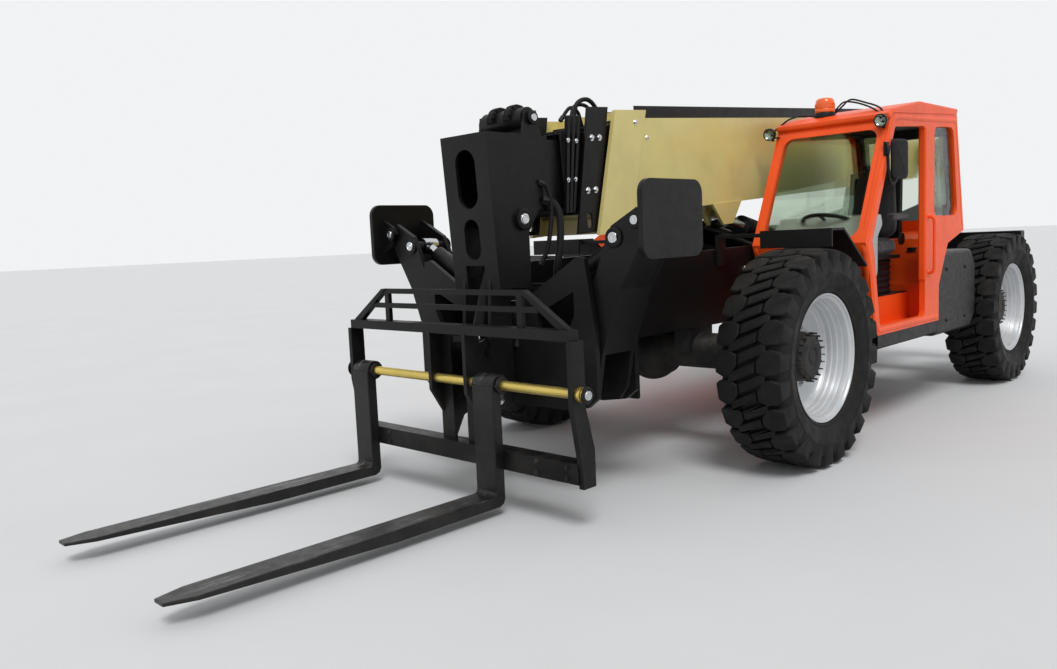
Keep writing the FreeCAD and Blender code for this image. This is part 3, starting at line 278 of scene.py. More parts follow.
def block(shape, low, high):
    slab(shape, rectangle(low[:2], high[:2]), (0, 0, low[2]), forward, left, high[2] - low[2])


def hexBolt(shape, centre, axis, size=0.012, height=0.008):
    # A washer, a six-sided head and its slightly domed top.
    c, a = np.array(centre, float), np.array(axis, float)
    washer = height * 0.25
    disc(shape, c, a, size * 1.45, washer, 20)
    head = [(0, 0), (size, 0), (size, height * 0.9), (size * 0.86, height), (0, height)]
    revolve(shape, head, c + a * washer, a, 6)


# Materials

def fill(tree, node, inputs):
    # Each named input takes a link from another node, a number or a colour.
    for key, value in inputs.items():
        socket = node.inputs[key]
        if hasattr(value, "is_output"):
            tree.links.new(value, socket)
        else:
            socket.default_value = (*value, 1) if socket.type == "RGBA" else value


def addNode(tree, kind, inputs=None, **settings):
    node = tree.nodes.new("ShaderNode" + kind)
    for key, value in settings.items():
        setattr(node, key, value)
    fill(tree, node, inputs or {})
    return node


def newMaterial(name):
    mat = bpy.data.materials.new(name)
    mat.use_nodes = True
    tree = mat.node_tree
    tree.nodes.clear()
    out = addNode(tree, "OutputMaterial")
    shader = addNode(tree, "BsdfPrincipled")
    fill(tree, out, {0: shader.outputs[0]})
    return mat, tree, shader, addNode(tree, "TexCoord").outputs["Object"]


def noise(tree, coords, scale, detail=6.0, rough=0.6, stretch=(1, 1, 1)):
    place = addNode(tree, "Mapping", {"Scale": stretch, 0: coords})
    return addNode(tree, "TexNoise", {"Scale": scale, "Detail": detail, "Roughness": rough,
                                      "Vector": place.outputs[0]}).outputs["Fac"]


def ramp(tree, factor, *stops):
    # Each stop is a place and a colour, or a place and a single value of grey.
    node = addNode(tree, "ValToRGB", {0: factor})
    elements = node.color_ramp.elements
    while len(elements) < len(stops):
        elements.new(0.5)
    for element, (place, color) in zip(elements, stops):
        element.position = place
        element.color = (*color, 1) if isinstance(color, tuple) else (color, color, color, 1)
    return node.outputs[0]


def mixColor(tree, factor, a, b, mode="MIX"):
    return addNode(tree, "Mix", {0: factor, 6: a, 7: b}, data_type="RGBA", blend_type=mode).outputs[2]


def compute(tree, kind, a, b):
    return addNode(tree, "Math", {0: a, 1: b}, operation=kind).outputs[0]


def addBump(tree, shader, height, strength, distance):
    bump = addNode(tree, "Bump", {"Strength": strength, "Distance": distance, "Height": height})
    fill(tree, shader, {"Normal": bump.outputs[0]})


def linear(rgb):
    # Screen colour values to light values.
    return tuple(c / 12.92 if c <= 0.04045 else ((c + 0.055) / 1.055) ** 2.4 for c in rgb)


finishes = {
    # screen colour, roughness, dust, ripple and, where set: metal, worn edges, clear coat, shine
    "orange_paint": dict(color=(0.97, 0.34, 0.10), rough=0.38, dust=0.02, ripple=0.06, coat=0.08, shine=0.28),
    "cream_paint": dict(color=(0.85, 0.79, 0.50), rough=0.36, dust=0.06, ripple=0.06, coat=0.3),
    "black_paint": dict(color=(0.060, 0.060, 0.064), rough=0.40, dust=0.04, ripple=0.10, shine=0.22),
    "rim_paint": dict(color=(0.78, 0.79, 0.80), rough=0.34, dust=0.12, ripple=0.08, metal=0.35),
    "dark_iron": dict(color=(0.09, 0.09, 0.095), rough=0.55, dust=0.12, ripple=0.5, shine=0.3),
    "rod_chrome": dict(color=(0.80, 0.81, 0.82), rough=0.12, dust=0.03, ripple=0.02, metal=1.0),
    "zinc_yellow": dict(color=(0.88, 0.78, 0.42), rough=0.3, dust=0.05, ripple=0.05, metal=0.85),
    "fork_steel": dict(color=(0.07, 0.07, 0.075), rough=0.35, dust=0.03, ripple=0.12, worn=0.6, shine=0.3),
    "grey_plastic": dict(color=(0.66, 0.67, 0.67), rough=0.6, dust=0.04, ripple=0.3),
    "black_plastic": dict(color=(0.055, 0.055, 0.058), rough=0.5, dust=0.04, ripple=0.3, shine=0.25),
    "lamp_body": dict(color=(0.07, 0.07, 0.075), rough=0.4, dust=0.05, ripple=0.1, shine=0.3),
    "amber_lens": dict(color=(0.95, 0.40, 0.06), rough=0.18, dust=0.02, ripple=0.02, coat=0.5),
}
dustValues = {"color": (0.56, 0.52, 0.46), "rough": 0.85, "up": 0.8, "low": 0.9, "height": 1.1, "gain": 2.2}


def paintFinish(name, color, rough, dust, ripple, coat=0.0, metal=0.0, worn=0.0, shine=0.5):
    # Enamel with a faint change of shade over half a metre, finer mottling of its gloss, dust that
    # gathers on upward faces and near the ground, and an orange-peel ripple.
    mat, tree, shader, coords = newMaterial(name)
    d = dustValues
    base = linear(color)
    lighter = tuple(min(1, c * 1.08 + 0.004) for c in base)
    darker = tuple(c * 0.90 for c in base)
    shade = ramp(tree, noise(tree, coords, 1.7, 4), (0.35, darker), (0.5, base), (0.68, lighter))
    geometry = addNode(tree, "NewGeometry")
    facing = addNode(tree, "SeparateXYZ", {0: geometry.outputs["Normal"]}).outputs["Z"]
    height = addNode(tree, "SeparateXYZ", {0: coords}).outputs["Z"]
    up = addNode(tree, "MapRange", {"From Min": 0.2, "From Max": 1.0, "Value": facing}).outputs[0]
    low = addNode(tree, "MapRange", {"From Min": d["height"], "From Max": 0.0, "Value": height}).outputs[0]
    patches = ramp(tree, noise(tree, coords, 6.0, 9, 0.7), (0.42, 0), (0.72, 1))
    onTop, down = compute(tree, "MULTIPLY", up, d["up"]), compute(tree, "MULTIPLY", low, d["low"])
    gather = compute(tree, "ADD", onTop, down)
    amount = compute(tree, "MULTIPLY", compute(tree, "MULTIPLY", gather, patches), dust * d["gain"])
    dusty = mixColor(tree, amount, shade, linear(d["color"]))
    if worn:
        scratch = ramp(tree, noise(tree, coords, 9.0, 10, 0.75, (0.25, 4, 1)), (0.56, 0), (0.60, 1))
        bare = compute(tree, "MULTIPLY", compute(tree, "MULTIPLY", scratch, up), worn)
        dusty = mixColor(tree, bare, dusty, linear((0.55, 0.55, 0.56)))
    gloss = ramp(tree, noise(tree, coords, 22.0, 6), (0.3, max(0.05, rough - 0.07)), (0.7, rough + 0.10))
    gloss = mixColor(tree, amount, gloss, (d["rough"],) * 3)
    fill(tree, shader, {"Base Color": dusty, "Roughness": gloss, "Metallic": metal, "Coat Weight": coat,
                        "Specular IOR Level": shine, "Coat Roughness": 0.12})
    addBump(tree, shader, noise(tree, coords, 160.0, 3), ripple, 0.0006)
    return mat


def rubberFinish():
    # Dark rubber with random patches of brown dust and a fine pitted skin.
    mat, tree, shader, coords = newMaterial("tyre_rubber")
    body = ramp(tree, noise(tree, coords, 5.0, 8, 0.7), (0.3, linear((0.06, 0.06, 0.06))),
                (0.55, linear((0.095, 0.092, 0.09))), (0.82, linear((0.19, 0.175, 0.155))))
    fine = ramp(tree, noise(tree, coords, 60.0, 8), (0.35, 0.75), (0.7, 1.1))
    fill(tree, shader, {"Base Color": mixColor(tree, 1.0, body, fine, "MULTIPLY"), "Specular IOR Level": 0.25,
                        "Roughness": ramp(tree, noise(tree, coords, 12.0), (0.3, 0.55), (0.7, 0.85))})
    addBump(tree, shader, noise(tree, coords, 90.0, 8, 0.7), 0.5, 0.002)
    return mat


def glassFinish():
    # Clear green glass with a faint film.
    mat, tree, shader, coords = newMaterial("clear_glass")
    film = ramp(tree, noise(tree, coords, 4.0, 8), (0.45, 0.005), (0.8, 0.03))
    fill(tree, shader, {"Roughness": film, "Base Color": linear((0.58, 0.70, 0.56)), "IOR": 1.06,
                        "Transmission Weight": 1.0, "Alpha": 0.34})
    return mat


def clothFinish():
    # Woven seat cover: two crossing sets of fine waves make the threads.
    mat, tree, shader, coords = newMaterial("seat_cover")
    waves = []
    for turn in ((0, 0, 0), (math.pi / 2, math.pi / 2, 0)):
        place = addNode(tree, "Mapping", {"Rotation": turn, 0: coords})
        wave = addNode(tree, "TexWave", {"Scale": 160.0, "Distortion": 0.6, 0: place.outputs[0]})
        waves.append(wave.outputs["Fac"])
    weave = compute(tree, "MULTIPLY", *waves)
    tone = ramp(tree, weave, (0.0, linear((0.075, 0.075, 0.08))), (1.0, linear((0.17, 0.17, 0.18))))
    worn = ramp(tree, noise(tree, coords, 5.0), (0.35, 0.8), (0.7, 1.25))
    fill(tree, shader, {"Base Color": mixColor(tree, 1.0, tone, worn, "MULTIPLY"), "Roughness": 0.85,
                        "Sheen Weight": 0.25})
    addBump(tree, shader, weave, 0.5, 0.0008)
    return mat


materials = {name: paintFinish(name, **values) for name, values in finishes.items()}
materials["tyre_rubber"] = rubberFinish()
materials["clear_glass"] = glassFinish()
materials["seat_cover"] = clothFinish()

# Each CAD node wears the finish of its own slot in the record
slotOf = {part["node"]: part["material_slot"] for part in frame["record"]["subparts"]}
for node, piece in frame["nodes"].items():
    piece.data.materials.clear()
    piece.data.materials.append(materials[slotOf[node]])
print("materials on", len(frame["nodes"]), "nodes")


# Camera and light

view = {"position": design(4.80576, 3.54042, 1.39790), "yaw": 3.919065, "pitch": 0.106262, "roll": -0.044057,
        "focalPixels": 870.276, "imageWidth": 1057, "sensor": 36.0}


def addCamera():
    # Fitted to the photograph's own view: yaw about the vertical, pitch downwards, roll about the view.
    yaw, pitch, roll = view["yaw"], view["pitch"], view["roll"]
    ahead = Vector((math.cos(yaw) * math.cos(pitch), math.sin(yaw) * math.cos(pitch), -math.sin(pitch)))
    level = ahead.cross(Vector((0, 0, 1))).normalized()
    steep = level.cross(ahead)
    right = math.cos(roll) * level + math.sin(roll) * steep
    top = -math.sin(roll) * level + math.cos(roll) * steep
    data = bpy.data.cameras.new("camera")
    data.sensor_fit = "HORIZONTAL"
    data.sensor_width = view["sensor"]
    data.lens = view["focalPixels"] / view["imageWidth"] * view["sensor"]
    camera = bpy.data.objects.new("camera", data)
    turned = Matrix((right, top, -ahead)).transposed().to_4x4()
    camera.matrix_world = Matrix.Translation(view["position"]) @ turned
    bpy.context.collection.objects.link(camera)
    bpy.context.scene.camera = camera


stageValues = {"floorSize": 400.0, "floorColor": (0.86, 0.865, 0.87), "skyTop": (1.0, 1.0, 1.0),
               "skyLow": (0.80, 0.82, 0.85), "skyLight": 0.62, "seenColor": (0.93, 0.94, 0.95),
               "skySeen": 0.95, "sunPower": 1.5, "sunSpread": 22.0, "sunFrom": (0.45, 0.55, 1.0)}


def addStage():
    # A pale floor, a soft sky that is seen lighter than it lights, and one wide sun.
    s = stageValues
    half = s["floorSize"] / 2
    mesh = bpy.data.meshes.new("floor")
    corners = rectangle((-half, -half), (half, half))
    mesh.from_pydata([(x, y, 0) for x, y in corners], [], [(0, 1, 2, 3)])
    floor = bpy.data.objects.new("floor", mesh)
    bpy.context.collection.objects.link(floor)
    mat, tree, shader, coords = newMaterial("floor")
    base = linear(s["floorColor"])
    tone = ramp(tree, noise(tree, coords, 0.8, 8), (0.3, tuple(c * 0.96 for c in base)), (0.7, base))
    fill(tree, shader, {"Base Color": tone, "Roughness": 0.75})
    mesh.materials.append(mat)
    world = bpy.data.worlds.new("softSky")
    bpy.context.scene.world = world
    world.use_nodes = True
    tree = world.node_tree
    tree.nodes.clear()
    direction = addNode(tree, "TexCoord").outputs["Generated"]
    height = addNode(tree, "SeparateXYZ", {0: direction}).outputs["Z"]
    sky = ramp(tree, height, (0.0, s["skyLow"]), (0.6, s["skyTop"]))
    light = addNode(tree, "Background", {"Color": sky, "Strength": s["skyLight"]})
    seen = addNode(tree, "Background", {"Color": s["seenColor"], "Strength": s["skySeen"]})
    rays = addNode(tree, "LightPath").outputs
    direct = compute(tree, "MAXIMUM", rays["Is Camera Ray"], rays["Is Transmission Ray"])
    direct = compute(tree, "MAXIMUM", direct, rays["Is Glossy Ray"])
    both = addNode(tree, "MixShader", {0: direct, 1: light.outputs[0], 2: seen.outputs[0]})
    addNode(tree, "OutputWorld", {0: both.outputs[0]})
    sun = bpy.data.lights.new("softSun", "SUN")
    sun.energy = s["sunPower"]
    sun.angle = math.radians(s["sunSpread"])
    lamp = bpy.data.objects.new("softSun", sun)
    lamp.rotation_euler = Vector(s["sunFrom"]).to_track_quat("Z", "Y").to_euler()
    bpy.context.collection.objects.link(lamp)


addCamera()
addStage()
bpy.context.scene.view_settings.view_transform = "Standard"
print("camera and light set")


# Wheels: places across the tyre and round it, and profiles as (radius, place along the axle)

tyreValues = {
    "pitches": 24, "inset": 0.0065, "round": 0.006, "steps": 120,
    "slope": 0.45, "bend": 0.115, "shoulderSlope": 0.05,  # how the bars lean, and where they bend back
    "barEnds": (-0.112, 0.050), "barHalf": 0.030,
    "block": [(0.060, -0.028), (0.060, 0.029), (0.100, 0.071), (0.150, 0.073), (0.1995, 0.052),
              (0.1995, -0.050), (0.172, -0.071), (0.108, -0.074)],
    "flat": 0.10, "crownDrop": 0.016, "sink": 0.006,  # half of the level tread, its fall at the edge
    "carcass": [(0.354, 0.134), (0.383, 0.147), (0.3835, 0.160), (0.389, 0.168), (0.397, 0.171),
                (0.404, 0.168), (0.412, 0.172), (0.44, 0.187), (0.495, 0.1965), (0.500, 0.1995),
                (0.508, 0.1995), (0.513, 0.1965), (0.555, 0.1935), (0.585, 0.181), (0.603, 0.158),
                (0.610, 0.12), (0.612, 0.04)],
}
rimValues = {
    "crisp": 0.0016, "nuts": 12, "nutRing": 0.180, "nutDepth": 0.0265, "nut": (0.014, 0.016),
    "valve": [(0.338, 0.050), (0.327, 0.070), (0.316, 0.088)], "valveRadius": 0.0045,
    "profile": [(0.381, 0.156), (0.379, 0.1595), (0.374, 0.160), (0.369, 0.156), (0.366, 0.146),
                (0.357, 0.140), (0.354, 0.130), (0.3525, 0.104), (0.345, 0.099), (0.3425, 0.072),
                (0.335, 0.066), (0.3325, 0.040), (0.326, 0.034), (0.3235, 0.008), (0.316, 0.001),
                (0.310, -0.012), (0.296, -0.020), (0.22, -0.026), (0.150, -0.028), (0.150, -0.041),
                (0.22, -0.039), (0.298, -0.032), (0.318, -0.022), (0.326, -0.06), (0.330, -0.10),
                (0.338, -0.115), (0.343, -0.150), (0.366, -0.156), (0.381, -0.156), (0.381, -0.149),
                (0.3497, -0.137), (0.3497, 0.137), (0.381, 0.149)],
}
hubValues = {
    "crisp": 0.0015, "back": -0.06, "face": 0.0745, "screws": 10, "screwRing": 0.129, "screwOut": 0.061,
    "screw": (0.008, 0.007), "ribs": 20, "ribRing": 0.143, "ribOut": 0.050, "ribLength": 0.030,
    "rib": ((-0.004, -0.0025), (0.006, 0.0025)),
    "drum": [(0.149, -0.06), (0.149, 0.012), (0.143, 0.018), (0.143, 0.052), (0.137, 0.060), (0.120, 0.066),
             (0.112, 0.0745), (0.060, 0.0745), (0.056, 0.069), (0.034, 0.069), (0.030, 0.0745)],
}


def treadOutlines():
    # Outlines across and round the tyre: two rows of slanting bars, half a pitch apart, that run
    # past each other over the middle, and a broad block behind the outer end of each bar.
    v = tyreValues
    pitch = 2 * math.pi * wheelR / v["pitches"]
    start, end = v["barEnds"]
    bar = rectangle((start, -v["barHalf"]), (end, v["barHalf"]))
    rows = []
    for side, shift in ((1, 0.0), (-1, pitch / 2)):
        for outline in (bar, v["block"]):
            flat = np.array(outline) * side
            reach = np.abs(flat[:, 0])
            past = np.maximum(reach - v["bend"], 0)
            lean = np.minimum(reach, v["bend"]) * v["slope"] + past * v["shoulderSlope"]
            flat[:, 1] += lean * np.sign(flat[:, 0]) + shift
            rows.append(roundCorners(flat, v["round"]))
    return rows


def addTyre(shape, centre, side):
    # The carcass is one profile turned about the axle. A block is five loops of its outline: at the
    # carcass, twice just under the tread's radius, and twice inside that outline near the radius
    # itself. Each is bent round the axle by its distance round the tyre over the radius.
    v = tyreValues
    mirrored = [(r, -y) for r, y in reversed(v["carcass"])]
    revolve(shape, v["carcass"] + mirrored, centre, side * left, v["steps"])
    flank = np.array(v["carcass"][8:])[::-1]
    for flat in treadOutlines():
        reach = np.abs(flat[:, 0])
        crown = wheelR - v["crownDrop"] * np.clip((reach - v["flat"]) / 0.1, 0, 1) ** 2
        base = np.interp(reach, flank[:, 1], flank[:, 0]) - v["sink"]
        loops = [(flat * [0.985, 1], base), (flat, crown - v["inset"] - 0.001), (flat, crown - v["inset"]),
                 (insetOutline(flat, v["inset"]), crown - 0.0006),
                 (insetOutline(flat, v["inset"] * 1.8), crown - 0.0003)]
        faces = loopFaces(len(loops), len(flat))
        for turn in np.arange(v["pitches"]) * 2 * math.pi / v["pitches"]:
            pts = []
            for points, radius in loops:
                angle = turn + points[:, 1] / wheelR
                bent = [radius * np.sin(angle), side * points[:, 0], -radius * np.cos(angle)]
                pts.append(np.stack(bent, 1))
            shape.add(np.vstack(pts) + centre, faces)


def addHub(shape, centre, side):
    # A stepped drum for the planetary gears with a ring of cap screws and cooling ribs round its side.
    v, out = hubValues, side * left
    drum = crisp(v["drum"], v["crisp"])[1:-1]
    revolve(shape, [(0, v["back"]), *drum, (0, v["face"])], centre, out, 72)
    for radial, tangent in spokes(v["screws"], forward, upward, 0.5):
        hexBolt(shape, centre + radial * v["screwRing"] + out * v["screwOut"], out, *v["screw"])
    for radial, tangent in spokes(v["ribs"], forward, upward):
        spot = centre + radial * v["ribRing"] + out * v["ribOut"]
        slab(shape, rectangle(*v["rib"]), spot, radial, tangent * side, -v["ribLength"])


def addWheel(place, x, side):
    v = rimValues
    centre, out = design(x, side * wheelY, wheelR), side * left
    body, tag = "wheel_" + place, tagOf(place)
    tyre, rim, hub = Shape(), Shape(), Shape()
    addTyre(tyre, centre, side)
    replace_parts(tyre.finish("tyre" + tag, "tyre_rubber", body, crease=30.0), "tyre_" + place)
    revolve(rim, crisp(v["profile"], v["crisp"]), centre, out, 120)
    for radial, tangent in spokes(v["nuts"], forward, upward, 0.5):
        hexBolt(rim, centre + radial * v["nutRing"] - out * v["nutDepth"], out, *v["nut"])
    sweep(rim, [centre + r * forward + y * out for r, y in v["valve"]], v["valveRadius"], 8)
    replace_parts(rim.finish("rim" + tag, "rim_paint", body), "rim_" + place)
    addHub(hub, centre, side)
    hub.finish("hub" + tag, "dark_iron", body)


for end, x in (("front", 0.0), ("rear", -wheelbase)):
    for sideName, side in (("left", 1), ("right", -1)):
        addWheel(end + "_" + sideName, x, side)
print("wheels done")


# Soft edges on the CAD nodes: bevel width and segments

edgeWidths = {"cab_side_frames": (0.013, 3), "cab_end_frames": (0.012, 3), "cab_roof": (0.022, 3),
              "hood": (0.004, 2), "engine_pod": (0.008, 2), "side_tank": (0.035, 4),
              "dash_console": (0.02, 3), "counterweight": (0.012, 2), "forks": (0.005, 2),
              "carriage": (0.004, 2), "boom_head": (0.004, 2), "engine": (0.012, 2),
              "stabilizer_pad_left": (0.006, 2), "stabilizer_pad_right": (0.006, 2)}
otherEdges = (0.003, 2)
plainNodes = ("cab_glass", "steering_wheel", "tyre_", "rim_")

for node, piece in frame["nodes"].items():
    if not node.startswith(plainNodes):
        softenEdges(piece, *edgeWidths.get(node, otherEdges), weld=True)
print("edges softened")


# Pins and screws: body, centre, direction outwards, size

pinEnds = []
screwRows = []
for side, name in ((-1, "right"), (1, "left")):
    out, stabilizer = side * left, "stabilizer_" + name
    pinEnds += [("boom", design(-4.15, side * 0.42, 2.08), out, 0.048),
                ("inner_section", boomPoint(5.576, -0.172, side * 0.198), out, 0.033),
                ("inner_section", boomPoint(5.437, 0.370, side * 0.198), out, 0.021),
                ("chassis", design(-3.0, side * 0.412, 0.98), out, 0.038),
                ("fork_carriage", design(1.62, side * 0.165, 0.56), out, 0.033)]
    for end in (-1, 1):
        pinEnds += [("chassis", design(1.26 + end * 0.181, side * 0.58, 0.62), end * forward, 0.034),
                    (stabilizer, design(1.26 + end * 0.143, side * 0.81, 1.40), end * forward, 0.029),
                    (stabilizer, design(1.26 + end * 0.175, side * 0.97, 1.48), end * forward, 0.024)]
    for v in (0.248, -0.049):
        for du in (-0.035, 0.035):
            along = 4.940 + (0.423 - v) * 0.238 + du  # the cheek's edge leans by this slope
            screwRows.append(("second_section", boomPoint(along, v, side * 0.249), out, 0.013))
    for body, y, size, spots in (
            ("third_section", 0.230, 0.009, ((5.132, 0.235), (5.164, 0.02), (5.202, 0.24), (5.227, 0.02))),
            ("boom", 0.260, 0.010, ((4.50, 0.24), (4.62, 0.24), (4.50, -0.10), (4.62, -0.10))),
            ("boom", 0.285, 0.012, ((4.64, 0.33), (4.80, -0.24)))):
        screwRows += [(body, boomPoint(u, v, side * y), out, size) for u, v in spots]
    for x, z in ((0.75, 1.05), (0.75, 0.92), (-0.55, 1.15), (-0.55, 0.95), (-3.2, 1.2), (-4.2, 1.25),
                 (-4.2, 1.05)):
        screwRows.append(("chassis", design(x, side * 0.4, z), out, 0.014))
    for y in (0.35, 0.75):
        screwRows += [("chassis", design(-4.51, side * y, z), -forward, 0.018) for z in (1.1, 0.8)]
pinEnds += [("fork_carriage", design(1.80, 0.945, 0.68), left, 0.024),
            ("fork_carriage", design(1.80, -0.911, 0.68), -left, 0.030)]

# Shares of the pin's radius, and metres along it
pinFace = [(0, -0.004), (1, -0.004), (1, 0.007), (0.9, 0.0105), (0.62, 0.0105), (0.58, 0.0085),
           (0.42, 0.0085), (0.38, 0.0105), (0, 0.0105)]
pinCollar = [(1.04, -0.004), (1.75, -0.004), (1.75, 0.002), (1.62, 0.0045), (1.2, 0.0045), (1.04, 0.002)]


def addFasteners():
    # A pin's end is a disc with a chamfer and a shallow ring turned in its face, inside a black collar.
    bright, dark = defaultdict(Shape), defaultdict(Shape)
    for body, centre, out, radius in pinEnds:
        revolve(bright[body], np.array(pinFace) * (radius, 1), centre, out)
        revolve(dark[body], np.array(pinCollar) * (radius, 1), centre, out)
    for body, centre, out, size in screwRows:
        hexBolt(bright[body], centre, out, size, size * 0.8)
    finishEach(bright, "brightPins", "rod_chrome")
    finishEach(dark, "collars", "black_paint")


addFasteners()
print("fasteners done")


# Hoses and chain on the boom: body, radius, points as (u, v, y)

hoseRuns = [
    ("inner_section", 0.021, [(5.40, -0.08, 0.182), (5.352, -0.10, 0.214), (5.338, -0.18, 0.240),
                              (5.36, -0.33, 0.246), (5.385, -0.45, 0.234), (5.375, -0.56, 0.205)]),
    ("inner_section", 0.013, [(5.42, 0.02, 0.182), (5.385, -0.01, 0.205), (5.372, -0.12, 0.216),
                              (5.40, -0.26, 0.215), (5.43, -0.36, 0.205), (5.46, -0.43, 0.183)]),
    *[("inner_section", 0.012, [(5.60, -0.475, side * 0.15), (5.62, -0.60, side * 0.14),
                                (5.635, -0.75, side * 0.135),
                                (5.66, -0.86, side * 0.128)]) for side in (1, -1)],
    ("second_section", 0.013, [(4.90, 0.33, 0.20), (4.90, 0.42, 0.20), (4.96, 0.472, 0.19),
                               (5.03, 0.45, 0.17), (5.06, 0.36, 0.16)]),
    ("second_section", 0.011, [(4.87, 0.33, 0.15), (4.88, 0.40, 0.15), (4.93, 0.446, 0.14),
                               (5.00, 0.44, 0.12), (5.04, 0.36, 0.12)]),
    ("second_section", 0.011, [(4.90, 0.33, 0.08), (4.92, 0.41, 0.08), (4.98, 0.44, 0.07),
                               (5.05, 0.37, 0.05)]),
]
trayValues = {"hoses": 6, "first": -0.115, "pitch": 0.046, "radius": 0.0135, "top": 0.394, "clampHalf": 0.138,
              "clamps": (0.35, 0.75, 3.95, 4.25), "clampWidth": 0.03, "clampThick": 0.008}


def addHoses():
    # Round tubes carried along smooth lines, with a hexagonal fitting at each end.
    shapes, ends = defaultdict(Shape), defaultdict(Shape)
    for body, radius, points in hoseRuns:
        path = curvePath([boomPoint(*p) for p in points], 8)
        sweep(shapes[body], path, radius, 12)
        wide = radius * 1.3
        for tip, inner in ((path[0], path[2]), (path[-1], path[-3])):
            out = (tip - inner) / np.linalg.norm(tip - inner)
            revolve(ends[body], [(0, -0.03), (wide, -0.03), (wide, 0.004), (0, 0.004)], tip, out, 6)
    v = trayValues
    for k in range(v["hoses"]):
        y = v["first"] + k * v["pitch"]
        line = ((0.17, 0.380, y), (1.6, 0.383, y * 0.97), (3.0, 0.380, y), (4.44, 0.381, y))
        sweep(shapes["boom"], [boomPoint(*p) for p in line], v["radius"])
    finishEach(shapes, "hoses", "black_plastic")
    finishEach(ends, "fittings", "dark_iron", smooth=False)
    clamps = Shape()
    high = v["top"] + v["clampThick"]
    for u in v["clamps"]:
        slab(clamps, rectangle((u, v["top"]), (u + v["clampWidth"], high)), boomPoint(0, 0, v["clampHalf"]),
             boomAhead, boomUp, 2 * v["clampHalf"])
        for y in (-0.07, 0.07):
            hexBolt(clamps, boomPoint(u + v["clampWidth"] / 2, high, y), boomUp, 0.008, 0.006)
    clamps.finish("trayClamps", "dark_iron", "boom", smooth=False)


chainValues = {"centre": (5.437, 0.370), "radius": 0.074, "links": 9, "first": 12, "step": 22, "plates": 5,
               "groups": (-0.085, 0.045), "pitch": 0.0085, "thick": 0.0035, "stagger": 0.004,
               "link": (0.021, 0.011), "pinAhead": 0.014, "pinRadius": 0.0055, "pinEnds": (-0.006, 0.046)}


def addChain():
    # Leaf chain round the head's roller: link plates at equal angles, five rows side by side, joined by pins.
    v = chainValues
    chain = Shape()
    centre = boomPoint(*v["centre"])
    long, high = v["link"]
    outline = roundCorners(rectangle((-long, -high), (long, high)), 0.010)
    for k in range(v["links"]):
        a = math.radians(v["first"] + k * v["step"])
        radial = boomAhead * math.cos(a) + boomUp * math.sin(a)
        along = -boomAhead * math.sin(a) + boomUp * math.cos(a)
        middle = centre + radial * v["radius"]
        for group in v["groups"]:
            for row in range(v["plates"]):
                y = group + row * v["pitch"] + (v["stagger"] if k % 2 else 0)
                slab(chain, outline, middle + y * left, along, radial, v["thick"])
            pin = [middle + along * v["pinAhead"] + (group + end) * left for end in v["pinEnds"]]
            sweep(chain, pin, v["pinRadius"], 8)
    chain.finish("rollerChain", "dark_iron", "inner_section", smooth=False)


addHoses()
addChain()
print("boom details done")


# Cab

tubeValues = {
    "sides": (1.196, 0.449), "radius": 0.031, "barRadius": 0.026, "rearRadius": 0.028,
    # x and z along one side, from the roof's rear down the front post to the sill's rear
    "line": [(-2.185, 2.155), (-1.90, 2.140), (-1.45, 2.120), (-1.10, 2.105), (-1.005, 2.050), (-0.93, 1.91),
             (-0.78, 1.60), (-0.643, 1.31), (-0.655, 1.22), (-0.700, 1.08), (-0.728, 0.93), (-0.750, 0.80),
             (-0.805, 0.724), (-0.90, 0.720), (-1.35, 0.720), (-1.84, 0.720)],
    "bars": ((-1.012, 2.062), (-0.655, 1.275)),
    "rear": [(-2.19, 2.15), (-2.215, 2.08), (-2.30, 1.70), (-2.358, 1.38)],
}


def addCabTubes():
    # Round tubes along the front posts, the roof edges and the sill, flush with the plates' outer edges.
    v = tubeValues
    tubes = Shape()
    for y in v["sides"]:
        sweep(tubes, curvePath([design(x, y, z) for x, z in v["line"]], 6), v["radius"], 16)
    for x, z in v["bars"]:
        sweep(tubes, designs((x, 0.47, z), (x, 0.8, z + 0.002), (x, 1.175, z)), v["barRadius"], 16)
    rear = curvePath([design(x, v["sides"][0], z) for x, z in v["rear"]], 6)
    sweep(tubes, rear, v["rearRadius"], 16)
    tubes.finish("cabTubes", "orange_paint")
    post = Shape()
    block(post, design(-1.632, 1.172, 1.0), design(-1.588, 1.226, 2.075))
    post.finish("doorPost", "orange_paint", bevel=0.012, segments=3)


stepValues = {"x": (-1.86, -0.80), "y": (1.03, 1.21), "z": (0.598, 0.606, 0.689), "wall": 0.01,
              "bars": 16, "firstBar": -1.80, "barPitch": 0.062, "barWidth": 0.018}
handleValues = {"x": -1.65, "ends": (1.05, 1.45), "radius": 0.0115, "foot": (0.026, 0.005),
                "line": [(1.221, 1.05), (1.250, 1.056), (1.264, 1.09), (1.265, 1.25), (1.264, 1.41),
                         (1.250, 1.444), (1.221, 1.45)]}


